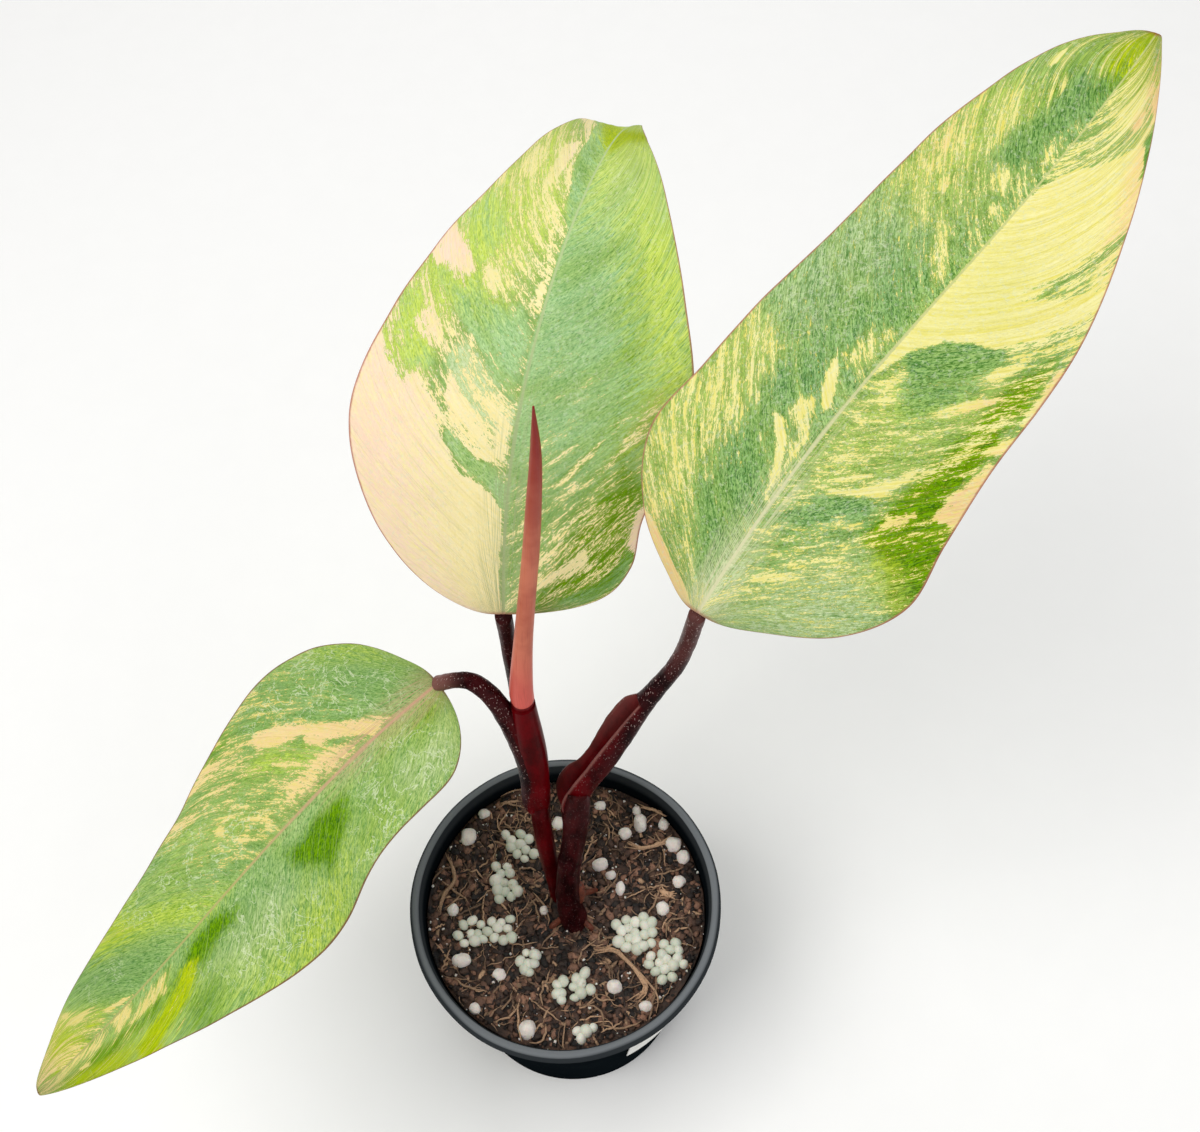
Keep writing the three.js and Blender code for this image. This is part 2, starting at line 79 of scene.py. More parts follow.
def bezierThrough(handles, shares):
    # sum of the handles, each weighed by its Bernstein polynomial
    handles = np.asarray(handles, float)
    order = len(handles) - 1
    weights = [math.comb(order, k) * shares**k * (1 - shares) ** (order - k) for k in range(order + 1)]
    return np.stack(weights, 1) @ handles


def unit(vectors):
    return vectors / np.maximum(np.linalg.norm(vectors, axis=-1, keepdims=True), 1e-12)


def smoothShare(low, high, values):
    # 0 below low, 1 above high, and a smooth S between them
    share = np.clip((values - low) / (high - low), 0, 1)
    return share * share * (3 - 2 * share)


def bump(values, middle, width):
    # a bell of height 1 about the middle
    return np.exp(-(((values - middle) / width) ** 2))


def rumple(points, size, seed, octaves=3):
    # sum of sine waves in random directions, about -1 to 1, with humps of the given size
    source = np.random.default_rng(seed)
    total = np.zeros(points.shape[:-1])
    for octave in range(octaves):
        for _ in range(5):
            direction = unit(source.normal(size=points.shape[-1]))
            phase = source.uniform(0, 2 * math.pi)
            pitch = size / 2**octave * source.uniform(0.7, 1.4)
            total += np.sin(points @ direction * 2 * math.pi / pitch + phase) / 2**octave
    return total / 4


# Meshes


def evenTurns(count):
    # turns in radians, evenly round a circle
    return np.arange(count) / count * 2 * np.pi


def gridQuads(rows, columns, closed, start=0):
    # quads between neighbouring rows and columns; a closed grid joins its last column to its first
    row = np.arange(rows - 1)[:, None]
    column = np.arange(columns if closed else columns - 1)[None, :]
    following = (column + 1) % columns
    corners = [row * columns + column, row * columns + following]
    corners += [(row + 1) * columns + following, (row + 1) * columns + column]
    return start + np.stack(np.broadcast_arrays(*corners), -1).reshape(-1, 4)


def poleFans(rings, spokes, start=0):
    # triangles from the first and the last ring to the two poles that follow the rings' points
    first = np.arange(spokes)
    following = (first + 1) % spokes
    pole, tail = rings * spokes, (rings - 1) * spokes
    atStart = np.stack([np.full(spokes, pole), following, first], 1)
    atEnd = np.stack([np.full(spokes, pole + 1), first + tail, following + tail], 1)
    return start + np.concatenate([atStart, atEnd])


def newPiece(name, points, quads, triangles=(), fields=None, uv=None, material=None, nodes=(), slot=None):
    # points in millimetres, held inside the box of the CAD model; fields are numbers or vectors
    # kept at the points, for the material
    mesh = bpy.data.meshes.new(name)
    quads = np.asarray(quads, int).reshape(-1, 4)
    triangles = np.asarray(triangles, int).reshape(-1, 3)
    corners = np.concatenate([quads.ravel(), triangles.ravel()])
    starts = np.concatenate([np.arange(len(quads)) * 4, len(quads) * 4 + np.arange(len(triangles)) * 3])
    mesh.vertices.add(len(points))
    places = np.clip(np.asarray(points) * millimetre, *cadBox)
    mesh.vertices.foreach_set("co", places.astype(np.float32).ravel())
    mesh.loops.add(len(corners))
    mesh.loops.foreach_set("vertex_index", corners.astype(np.int32))
    mesh.polygons.add(len(starts))
    mesh.polygons.foreach_set("loop_start", starts.astype(np.int32))
    mesh.update(calc_edges=True)
    mesh.validate()
    mesh.shade_smooth()
    for key, values in (fields or {}).items():
        values = np.asarray(values, np.float32)
        kind, slotName = ("FLOAT", "value") if values.ndim == 1 else ("FLOAT_VECTOR", "vector")
        mesh.attributes.new(key, kind, "POINT").data.foreach_set(slotName, values.ravel())
    if uv is not None:
        order = np.empty(len(mesh.loops), np.int32)
        mesh.loops.foreach_get("vertex_index", order)
        layer = mesh.uv_layers.new(name="surfaceMap")
        layer.uv.foreach_set("vector", np.asarray(uv, np.float32)[order].ravel())
    piece = bpy.data.objects.new(name, mesh)
    bpy.context.scene.collection.objects.link(piece)
    if material:
        mesh.materials.append(material)
    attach(piece, "root")
    if nodes:
        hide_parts(*nodes)
    return piece


def newCopies(name, copies, quads, fans, tone, material, nodes=(), slot="soil"):
    # one piece from many copies of a shape; copies is count, points, 3, with one tone for each copy
    count, size = copies.shape[:2]
    starts = (np.arange(count) * size)[:, None, None]
    faces = [(starts + shape).reshape(-1, shape.shape[1]) for shape in (quads, fans)]
    fields = {"tone": np.repeat(tone, size)}
    return newPiece(name, copies.reshape(-1, 3), *faces, fields=fields, material=material,
                    nodes=nodes, slot=slot)


# Materials


class Finish:
    # a principled material and short ways to add and join its nodes
    def __init__(self, name, **values):
        self.material = bpy.data.materials.new(name)
        self.material.use_nodes = True
        self.tree = self.material.node_tree
        self.shader = self.tree.nodes["Principled BSDF"]
        for key, value in values.items():
            self.shader.inputs[key].default_value = value

    def add(self, kind, inputs=None, **settings):
        node = self.tree.nodes.new("ShaderNode" + kind)
        for key, value in settings.items():
            setattr(node, key, value)
        for key, value in (inputs or {}).items():
            self.join(value, node.inputs[key])
        return node

    def join(self, value, socket):
        if isinstance(value, bpy.types.NodeSocket):
            self.tree.links.new(value, socket)
        else:
            socket.default_value = value

    def field(self, name):
        # a number or a vector kept at the piece's points
        return self.add("Attribute", attribute_name=name)

    def parts(self, vector):
        return self.add("SeparateXYZ", {0: vector}).outputs

    def place(self, scale=(1, 1, 1), source="Object"):
        # Object coordinates, or the piece's own map, stretched by scale
        if source == "Object":
            start = self.add("TexCoord").outputs["Object"]
        else:
            start = self.add("UVMap", uv_map=source).outputs[0]
        return self.add("Mapping", {"Vector": start, "Scale": scale}).outputs[0]

    def noise(self, vector, scale, detail=3.0, roughness=0.55, distortion=0.0):
        inputs = {"Vector": vector, "Scale": scale, "Detail": detail, "Roughness": roughness}
        inputs["Distortion"] = distortion
        return self.add("TexNoise", inputs).outputs["Fac"]

    def sum(self, operation, *values, clamp=False):
        inputs = dict(enumerate(values))
        return self.add("Math", inputs, operation=operation, use_clamp=clamp).outputs[0]

    def plus(self, *values, clamp=False):
        return self.sum("ADD", *values, clamp=clamp)

    def times(self, *values, clamp=False):
        return self.sum("MULTIPLY", *values, clamp=clamp)

    def size(self, value):
        # its distance from nought
        return self.sum("ABSOLUTE", value)

    def share(self, value, low, high):
        # 0 at low, 1 at high, smooth between
        inputs = {"Value": value, "From Min": low, "From Max": high}
        return self.add("MapRange", inputs, interpolation_type="SMOOTHSTEP").outputs[0]

    def between(self, value, low, high):
        # from low to high as the value goes from 0 to 1
        return self.add("MapRange", {"Value": value, "To Min": low, "To Max": high}).outputs[0]

    def mix(self, amount, first, second):
        node = self.add("Mix", data_type="RGBA")
        for value, socket in ((amount, node.inputs[0]), (first, node.inputs[6]), (second, node.inputs[7])):
            self.join(value, socket)
        return node.outputs[2]

    def shade(self, amount, pair):
        # a colour between two screen colours
        return self.mix(amount, paint(*pair[0]), paint(*pair[1]))

    def tint(self, surface, amount, colour):
        # the surface with a screen colour laid over it
        return self.mix(amount, surface, paint(*colour))

    def colour(self, value):
        self.join(value, self.shader.inputs["Base Color"])

    def rough(self, value):
        self.join(value, self.shader.inputs["Roughness"])

    def relief(self, height, distance, strength):
        bumps = self.add("Bump", {"Height": height, "Distance": distance, "Strength": strength})
        self.join(bumps.outputs[0], self.shader.inputs["Normal"])


def paint(red, green, blue):
    # a colour given in screen values 0 to 255, as the linear numbers that shaders use
    shares = np.array([red, green, blue]) / 255
    linear = np.where(shares <= 0.04045, shares / 12.92, ((shares + 0.055) / 1.055) ** 2.4)
    return (*linear.tolist(), 1.0)


# Camera, light and floor, in metres

view = {
    "place": (0.0166, -0.1655, 0.5645),
    "downward": 58.5,  # degrees under level
    "roll": -2.6,
    "lens": 45.0,
    "sensor": 36.0,
}

studio = {
    "sky": 0.4,
    "lamps": {  # place, target, size, power and colour
        "keyLamp": ((-0.55, -0.25, 1.2), (0, 0, 0.15), 0.8, 9.4, (1, 0.99, 0.97)),
        "fillLamp": ((0.8, -0.3, 0.8), (0, 0, 0.15), 1.0, 3.2, (0.97, 0.98, 1)),
        "backLamp": ((0.1, 1.0, 0.9), (0, 0.1, 0.2), 1.0, 3.5, (1, 1, 1)),
    },
    "floor": [(251, 251, 250), (254, 254, 253)],
    "floorReach": 2600,  # millimetres from the middle to an edge
    "floorLevel": -0.2,
    "floorPlaces": 9,
}


def makeCamera():
    # right, up and back directions from the downward angle, then turned by the roll
    down, roll = math.radians(view["downward"]), math.radians(view["roll"])
    forward = np.array([0, math.cos(down), -math.sin(down)])
    level = np.array([1.0, 0, 0])
    upright = np.cross(level, forward)
    right = math.cos(roll) * level + math.sin(roll) * upright
    up = -math.sin(roll) * level + math.cos(roll) * upright
    data = bpy.data.cameras.new("camera")
    data.lens = view["lens"]
    data.sensor_width = view["sensor"]
    data.sensor_fit = "HORIZONTAL"
    data.clip_start = 0.01
    camera = bpy.data.objects.new("camera", data)
    columns = np.column_stack([right, up, -forward, view["place"]])
    camera.matrix_world = Matrix([*columns.tolist(), [0, 0, 0, 1]])
    bpy.context.scene.collection.objects.link(camera)
    bpy.context.scene.camera = camera


def makeLamp(name, place, target, size, power, colour):
    # a square lamp whose back points away from its target
    data = bpy.data.lights.new(name, "AREA")
    data.size = size
    data.energy = power
    data.color = colour
    lamp = bpy.data.objects.new(name, data)
    back = unit(np.array(place, float) - np.array(target, float))
    side = unit(np.cross([0, 0, 1.0], back))
    columns = np.column_stack([side, np.cross(back, side), back, place])
    lamp.matrix_world = Matrix([*columns.tolist(), [0, 0, 0, 1]])
    bpy.context.scene.collection.objects.link(lamp)


def makeStudio():
    world = bpy.data.worlds.new("softSky")
    world.use_nodes = True
    sky = world.node_tree.nodes["Background"].inputs
    sky["Color"].default_value = (1, 1, 1, 1)
    sky["Strength"].default_value = studio["sky"]
    bpy.context.scene.world = world
    bpy.context.scene.view_settings.view_transform = "Standard"
    for name, settings in studio["lamps"].items():
        makeLamp(name, *settings)
    floor = Finish("paleFloor", Roughness=0.9)
    floor.colour(floor.shade(floor.noise(floor.place(), 60, 2), studio["floor"]))
    places = studio["floorPlaces"]
    reach = np.linspace(-studio["floorReach"], studio["floorReach"], places)
    x, y = np.meshgrid(reach, reach)
    points = np.stack([x, y, np.full_like(x, studio["floorLevel"])], -1).reshape(-1, 3)
    mesh = bpy.data.meshes.new("floor")
    mesh.from_pydata((points * millimetre).tolist(), [], gridQuads(places, places, False).tolist())
    mesh.materials.append(floor.material)
    piece = bpy.data.objects.new("floor", mesh)
    bpy.context.scene.collection.objects.link(piece)


makeCamera()
makeStudio()
print("camera, lamps and floor made")


# Leaves

leafShapes = {
    "leaf_right": {
        "midrib": [[41, 24, 230], [85, 75, 272], [111, 77, 292], [164.5, 144, 306]],
        "face": [[-0.15, -0.4, 0.9], [-0.35, -0.25, 0.9]],
        "left": [1.4, 11, 26.5, 36.5, 35, 34, 32, 31, 29.5, 25, 18.5, 8, 0.6],
        "right": [1.4, 15, 33.5, 43, 41, 39, 37, 33.5, 26, 17.5, 9.5, 3.5, 0.6],
        "foldLeft": [0.15, 0.2, 0.15, 0.2, 0.3],
        "foldRight": [0.1, 0.1, 0.12, 0.2, 0.3],
        "droop": 0.1,
        "wide": 40,
        "ripple": {"height": 3, "waves": 3, "phase": 0.5, "side": 1},
        "slot": "leaf_right_blade",
    },
    "leaf_back": {
        "midrib": [[-10, 36, 213], [-8, 66, 241], [-3, 67, 281], [19, 135, 291], [36.5, 167.5, 289],
                   [35, 178, 232]],
        "face": [[0, -0.8, 0.6], [-0.1, 0.1, 0.95], [-0.2, 0.85, 0.6]],
        "left": [1.4, 13, 26, 37.5, 44.5, 41.5, 35.5, 25.5, 18, 12, 7.5, 4, 0.6],
        "right": [1.4, 24.5, 34, 36, 40, 41, 31.5, 19.5, 7, 2, 2, 1.5, 0.6],
        "foldLeft": [0.12, 0.1, 0.05, 0.36, 1.05],
        "foldRight": [0.05, -0.1, -0.35, -0.1, -0.35],
        "droop": 0.1,
        "wide": 45,
        "ripple": {"height": 0, "waves": 1, "phase": 0, "side": 1},
        "slot": "leaf_back_blade",
    },
    "leaf_left": {
        "midrib": [[-30.5, 29, 188], [-77.5, -4.5, 177], [-108.5, -39.5, 150], [-153, -62, 118]],
        "face": [[-0.2, -0.1, 1], [-0.35, -0.25, 0.9]],
        "left": [1.4, 15.5, 24.5, 26.5, 27.5, 31, 30, 25, 17.5, 11, 6, 2.5, 0.6],
        "right": [1.4, 12, 28, 39.5, 43, 37.5, 29.5, 24.5, 20.5, 16, 9.5, 4.5, 0.6],
        "foldLeft": [0.25, 0.2, 0.15, 0.15, 0.15],
        "foldRight": [0.25, 0.2, 0.15, 0.15, 0.15],
        "droop": 0.25,
        "wide": 34,
        "ripple": {"height": 5, "waves": 2, "phase": -0.82, "side": -1},
        "slot": "leaf_left_blade",
    },
}

# Each marking is how full it is, how far its edge fades in millimetres, and then its outline's
# corners: thousandths of the midrib and of the half blade, where minus is the left half.
# creamLeft and creamRight are how full of cream each half is from base to tip, outside every
# outline, and green takes cream away.
leafMarks = {
    "leaf_right": {
        "creamLeft": [0.4, 0.34, 0.28, 0.22, 0.06, -0.06, -0.06, 0.1, 0.26, 0.3, 0.24, 0.16, 0.3],
        "creamRight": [0.28, 0.34, 0.36, 0.38, 0.38, 0.36, 0.36, 0.3, 0.3, 0.45, 0.5, 0.5, 0.3],
        "cream": [
            [1.5, 0.8, 386, 10, 443, 100, 486, 250, 511, 400, 529, 550, 571, 700, 614, 840, 660, 1050, 800,
             1050, 860, 920, 845, 750, 821, 550, 800, 300, 782, 150, 757, 50, 714, 4, 543, 4],
            [1.3, 1.2, 272, 840, 320, 870, 360, 930, 400, 1050, 290, 1050, 275, 920],
            [1.2, 1.2, 385, 870, 430, 930, 460, 1050, 420, 1050, 400, 940],
            [1.2, 1.0, 470, 950, 560, 960, 560, 1050, 460, 1050],
            [1.1, 1.2, 210, 170, 240, 350, 290, 530, 320, 620, 300, 620, 250, 530, 228, 400, 210, 270],
            [1.1, 1.2, 210, 590, 235, 620, 272, 740, 260, 780, 235, 720, 220, 640],
            [1.05, 1.2, 480, 600, 500, 610, 530, 680, 555, 780, 520, 760, 485, 660],
            [0.95, 1.5, 370, 400, 410, 500, 460, 660, 470, 760, 440, 700, 400, 580],
            [0.72, 2, 520, 540, 560, 560, 630, 780, 660, 1020, 580, 1020, 530, 740],
            [0.58, 2, 840, 100, 900, 120, 930, 900, 880, 900, 860, 500],
            [0.8, 1.6, 55, 120, 90, 300, 120, 470, 100, 450, 70, 300],
            [0.85, 1.4, 115, 120, 130, 180, 160, 320, 150, 330, 130, 260],
            [0.55, 3, 250, 40, 400, 40, 440, 120, 420, 220, 360, 260, 300, 220],
            [0.8, 2, 330, 720, 400, 760, 460, 840, 440, 900, 380, 840],
            [0.72, 3, 860, 40, 900, 200, 930, 500, 950, 800, 930, 950, 900, 850, 880, 600, 865, 350],
            [1.0, 1.2, 873, 600, 900, 680, 912, 800, 880, 800, 868, 700],
            [1.2, 1.2, 900, 900, 930, 880, 945, 1050, 890, 1050],
            [1.5, 1.2, -10, -400, 4, -1050, 70, -1050, 55, -850, 30, -720, 12, -500],
            [1.3, 0.7, 155, -40, 190, -120, 225, -220, 255, -370, 258, -280, 235, -180, 200, -80],
            [0.75, 1.0, 200, -60, 250, -150, 270, -300, 300, -290, 305, -200, 280, -120, 255, -50, 220,
             -50],
            [1.2, 0.7, 295, -100, 330, -220, 370, -300, 362, -220, 335, -140, 310, -80],
            [0.95, 0.9, 365, -160, 390, -230, 410, -220, 390, -150],
            [0.6, 3, 370, -50, 460, -60, 430, -250, 380, -250],
            [0.7, 2, 545, -80, 570, -280, 620, -420, 660, -520, 620, -260, 580, -100],
            [0.7, 2, 700, -240, 720, -360, 760, -360, 757, -200, 720, -140],
            [0.75, 1.5, 660, -120, 700, -200, 700, -120],
            [1.1, 1, 775, -70, 800, -120, 822, -170, 790, -60],
            [1.1, 1, 665, -540, 670, -600, 697, -670, 685, -570],
            [0.5, 5, 620, -950, 720, -1050, 860, -1050, 860, -700, 840, -500, 760, -450, 680, -600],
            [0.62, 4, 620, -450, 700, -850, 670, -850, 600, -550],
            [1.1, 1.2, 870, -440, 885, -500, 905, -600, 890, -460],
            [1.1, 1.2, 900, -800, 925, -900, 935, -880, 915, -760],
            [0.95, 1.4, 710, -770, 730, -880, 775, -950, 750, -850, 730, -780],
            [0.52, 5, 20, -950, 80, -550, 200, -450, 340, -600, 360, -1050, 50, -1050],
            [0.9, 1.4, 220, -800, 222, -870, 240, -930, 235, -840],
            [0.62, 3, 150, -500, 170, -700, 200, -750, 180, -550],
            [0.7, 2, 290, -650, 335, -880, 360, -860, 330, -700],
        ],
        "green": [
            [1.0, 1.4, 435, 100, 455, 110, 475, 190, 495, 230, 500, 330, 515, 400, 510, 500, 530, 600, 500,
             560, 470, 480, 445, 340, 430, 220],
            [0.45, 3, 400, 200, 440, 160, 500, 350, 520, 580, 460, 580, 380, 500, 350, 360],
            [0.3, 3, 210, 560, 260, 650, 330, 750, 400, 840, 430, 900, 380, 900, 300, 840, 250, 750],
            [0.2, 4, 120, 780, 190, 600, 240, 750, 270, 850, 275, 1050, 100, 1050],
            [0.15, 4, -20, 500, 100, 500, 130, 800, 100, 1050, -20, 1050],
            [0.5, 3, 150, 120, 200, 200, 240, 450, 220, 520, 180, 360],
            [0.95, 2.5, 600, 440, 650, 550, 700, 720, 750, 900, 770, 1050, 670, 1050, 630, 750],
            [0.2, 2.5, 520, 550, 560, 680, 610, 830, 620, 950, 560, 920, 540, 750],
            [1.0, 2, 815, 920, 860, 920, 890, 1050, 800, 1050],
            [0.5, 4, 180, -450, 300, -500, 330, -400, 300, -310, 260, -400, 200, -300],
            [0.5, 4, 760, -450, 900, -400, 920, -100, 800, -200, 760, -300],
            [0.55, 4, 30, -300, 130, -450, 200, -200, 100, -50, 50, -60],
        ],
        "peach": [
            [0.7, 3, 270, 820, 360, 900, 460, 1050, 560, 930, 570, 1050, 280, 1050],
            [0.8, 2, 860, 600, 890, 620, 905, 760, 875, 780],
            [0.8, 3, 880, 800, 930, 700, 990, 600, 1010, 1050, 880, 1050],
            [0.55, 4, 700, 850, 860, 800, 880, 1050, 680, 1050],
            [0.7, 4, -10, -400, -10, -1050, 90, -1050, 55, -700, 15, -500],
            [0.6, 3, 210, 580, 270, 700, 270, 800, 220, 700],
            [0.6, 3, 400, 600, 480, 720, 480, 900, 420, 680],
            [0.5, 3, 650, -500, 710, -700, 690, -500],
            [0.45, 5, 680, -750, 720, -1050, 840, -1050, 780, -800],
        ],
        "lime": [
            [0.5, 6, 920, -1050, 1020, -1050, 1020, 1050, 930, 1050, 940, 200],
            [0.45, 10, 560, -1050, 940, -1050, 860, -400, 620, -400],
            [0.55, 6, 900, -700, 970, -900, 970, -400, 930, -400],
            [0.3, 8, 60, -1050, 400, -1050, 360, -600, 100, -600],
            [0.4, 8, 200, 100, 420, 40, 420, 200, 500, 900, 300, 600],
            [0.6, 9, 400, 10, 660, 10, 660, 450, 560, 600, 480, 200],
        ],
        "vivid": [
            [0.7, 4, 940, -300, 970, -500, 1020, -500, 1020, 300, 960, 600, 930, 200],
            [0.5, 3, 120, 760, 190, 620, 190, 800, 140, 980],
            [0.45, 4, 900, 150, 940, 150, 950, 950, 920, 950, 910, 500],
        ],
        "deep": [
            [0.5, 4, 420, 140, 460, 140, 500, 300, 520, 500, 500, 580, 420, 500, 380, 360],
            [0.5, 4, 400, 250, 500, 350, 520, 600, 450, 550],
            [0.5, 5, 40, -40, 200, -100, 260, -380, 330, -340, 350, -500, 200, -550, 30, -350],
            [0.7, 5, 750, -420, 900, -420, 930, -80, 800, -60, 760, -300],
            [0.5, 4, 500, -50, 560, -350, 470, -300, 440, -100],
            [0.45, 6, 320, -350, 600, -500, 500, -800, 360, -700],
            [0.35, 6, 20, 50, 200, 50, 220, 400, 120, 450, 20, 300],
            [0.4, 3, 520, 550, 620, 850, 620, 950, 540, 900, 500, 650],
        ],
        "emerald": [
            [1.4, 2.2, 190, 570, 260, 620, 360, 720, 440, 860, 420, 950, 300, 860, 280, 1020, 120, 1020,
             140, 880, 180, 740],
            [1.1, 2.5, 300, 660, 380, 720, 500, 760, 560, 900, 480, 950, 420, 860, 360, 800],
            [0.4, 4, 840, -500, 900, -660, 930, -600, 880, -450],
            [0.6, 3, 810, 920, 870, 930, 890, 1050, 800, 1050],
            [0.6, 5, 900, -100, 950, -500, 990, -900, 1000, 400, 950, 300],
        ],
        "pale": [
            [0.5, 6, -20, -600, 40, -150, 100, 0, 40, 200, -20, 600],
            [0.45, 8, 0, 350, 130, 500, 150, 800, 100, 1050, 0, 1050],
            [0.3, 10, 400, -600, 600, -600, 600, -1050, 360, -1050],
        ],
        "mineral": [
            [0.5, 6, 250, -300, 320, -400, 300, -550, 240, -500],
            [0.6, 8, 300, -350, 620, -350, 640, -950, 340, -950],
            [0.3, 5, 450, 850, 620, 900, 600, 1000, 460, 950],
            [0.25, 9, 20, 50, 300, 50, 200, 800, 20, 800],
        ],
    },
    "leaf_back": {
        "creamLeft": [0.5, 0.5, 0.5, 0.5, 0.5, 0.42, 0.4, 0.44, 0.46, 0.36, 0.1, 0, 0],
        "creamRight": [0.3, 0.36, 0.3, 0.1, -0.05, -0.25, -0.5, -0.6, -0.6, -0.6, -0.6, -0.6, -0.6],
        "cream": [
            [1.6, 0.8, -20, -70, 60, -50, 140, -30, 170, -90, 190, -240, 200, -400, 220, -600, 200, -1050,
             -20, -1050],
            [1.6, 2.6, 150, -200, 235, -420, 270, -480, 290, -580, 320, -660, 290, -740, 310, -840, 370,
             -1050, 100, -1050],
            [1.15, 1.2, 220, -30, 280, -30, 300, -200, 330, -380, 320, -480, 280, -440, 240, -360, 210,
             -200],
            [0.9, 1.6, 340, -560, 380, -600, 400, -750, 380, -850, 350, -800],
            [1.2, 1.6, 420, -570, 450, -800, 480, -1050, 540, -1050, 510, -850, 480, -650, 460, -570],
            [0.8, 1.6, 585, -120, 600, -240, 625, -320, 660, -360, 720, -420, 760, -600, 800, -850, 820,
             -1050, 870, -1050, 830, -750, 790, -500, 740, -360, 670, -300, 620, -160],
            [0.95, 1.2, 560, -380, 620, -500, 700, -600, 720, -420, 650, -360],
            [1.1, 1, 420, -20, 440, -100, 460, -80, 470, -20],
            [0.8, 1.6, 470, -40, 520, -160, 580, -450, 600, -360, 560, -120],
            [0.8, 1.4, 400, -300, 440, -500, 480, -560, 460, -360],
            [0.72, 1.6, 600, -600, 640, -900, 700, -950, 680, -660],
            [0.8, 1.2, 30, 280, 50, 270, 80, 500, 100, 600, 70, 700, 50, 500],
            [0.8, 1.0, 65, 270, 80, 270, 120, 450, 110, 460],
            [0.9, 0.9, 190, 280, 210, 360, 270, 550, 250, 520, 200, 400],
            [0.62, 1.6, 220, 600, 290, 700, 360, 820, 280, 800],
            [1.2, 1, 100, 930, 170, 950, 180, 1050, 80, 1050],
        ],
        "green": [
            [0.8, 3.0, 310, -660, 330, -780, 370, -900, 410, -960, 410, -850, 370, -780, 340, -640, 325,
             -600],
            [1.0, 3.0, 155, -30, 180, -120, 200, -260, 240, -390, 250, -360, 220, -220, 200, -100, 180,
             -30],
            [0.85, 2.2, 240, -120, 290, -330, 330, -500, 345, -480, 310, -300, 270, -120],
            [0.8, 2, 360, -300, 400, -550, 450, -850, 470, -850, 450, -550, 410, -300],
            [0.5, 3, 300, -50, 330, -250, 400, -350, 420, -150, 380, -30],
            [0.5, 3, 470, -550, 520, -500, 600, -900, 540, -1000, 500, -750],
            [1.5, 1.2, 540, 0, 570, -100, 600, -140, 650, -280, 720, -350, 800, -550, 850, -800, 900, -1050,
             1020, -1050, 1020, 100, 540, 100],
            [0.6, 2, 20, 600, 40, 800, 100, 950, 60, 980, 20, 900],
        ],
        "peach": [
            [1.0, 16, -20, -1100, 450, -1100, 420, -700, 200, -620, -20, -900],
            [0.8, 4, 420, -550, 460, -1050, 540, -1050, 500, -650],
            [0.45, 8, 200, -500, 300, -400, 350, -600, 300, -800],
            [0.5, 4, 640, -350, 740, -450, 860, -1050, 800, -1050, 700, -550],
            [0.9, 3, 80, 900, 180, 900, 190, 1050, 70, 1050],
        ],
        "lime": [
            [1.0, 9, 560, 120, 700, -100, 800, -500, 920, -1050, 1020, -1050, 1020, 1050, 640, 1050, 600,
             600],
            [0.95, 10, 260, 1050, 340, 750, 480, 600, 580, 400, 700, 450, 740, 1050],
            [0.7, 8, 400, -1050, 420, -300, 550, -100, 720, -500, 840, -1050],
            [0.9, 5, 290, -660, 330, -980, 440, -980, 420, -600],
            [0.35, 6, 100, 600, 300, 600, 350, 1050, 100, 1050],
        ],
        "vivid": [
            [1.2, 3, 680, 120, 710, -120, 760, -300, 830, -600, 870, -1050, 940, -1050, 890, -600, 830,
             -300, 770, 0, 755, 500, 740, 1050, 720, 1050, 715, 400],
        ],
        "deep": [
            [0.3, 10, 20, 20, 500, 30, 580, 140, 500, 350, 350, 450, 150, 300],
            [0.4, 4, 550, 0, 600, -140, 660, -290, 720, -300, 690, 0],
            [0.4, 5, 570, 300, 600, 300, 680, 620, 650, 660, 600, 500],
            [0.4, 4, 500, 250, 520, 250, 560, 600, 530, 620],
            [0.35, 3, 550, 200, 560, 200, 620, 500, 600, 500],
        ],
        "emerald": [
            [0.85, 5, 10, 350, 100, 450, 250, 720, 200, 980, 20, 980],
            [0.35, 8, 180, 500, 400, 500, 500, 620, 360, 750, 220, 700],
        ],
        "pale": [
            [1.0, 1.6, 290, -20, 300, -120, 340, -300, 360, -440, 340, -500, 300, -400, 270, -250, 250,
             -40],
            [0.25, 10, 580, 120, 680, 150, 700, 1000, 600, 900],
        ],
        "mineral": [
            [0.4, 8, 200, 200, 420, 100, 440, 500, 240, 600],
            [0.35, 5, 240, 620, 340, 660, 340, 850, 240, 850],
        ],
    },
    "leaf_left": {
        "creamLeft": [-0.5, -0.5, -0.5, -0.5, -0.5, -0.5, -0.4, -0.3, -0.1, 0.1, 0.2, 0.2, 0.3],
        "creamRight": [-0.5, -0.3, 0.1, 0.28, 0.32, 0.28, 0.1, -0.1, -0.1, 0.06, 0.3, 0.42, 0.46],
        "cream": [
            [1.15, 1.5, 85, 30, 130, 20, 150, 100, 175, 180, 205, 220, 230, 300, 220, 400, 190, 360, 150,
             240, 115, 140],
            [1.35, 1.4, 205, 380, 240, 400, 270, 480, 295, 560, 300, 660, 285, 680, 250, 580, 220, 480],
            [0.74, 2, 130, 20, 280, 20, 330, 100, 300, 200, 220, 200, 160, 100],
            [0.56, 3, 280, 20, 380, 20, 440, 200, 400, 300, 320, 250],
            [0.62, 2, 300, 360, 340, 500, 400, 620, 450, 720, 520, 850, 560, 1020, 500, 1000, 440, 850, 380,
             700, 320, 550],
            [0.72, 2, 290, 680, 320, 700, 370, 800, 440, 930, 470, 1020, 400, 1020, 340, 850],
            [1.2, 0.8, 350, 190, 370, 190, 390, 290, 375, 260],
            [1.0, 0.9, 425, 380, 440, 380, 445, 490, 430, 470],
            [1.1, 0.9, 740, 30, 770, 60, 800, 150, 810, 240, 790, 200, 760, 100],
            [1.2, 1.0, 825, 430, 860, 440, 875, 550, 890, 700, 870, 660, 850, 520],
            [1.2, 1.0, 860, 720, 880, 760, 895, 900, 880, 880],
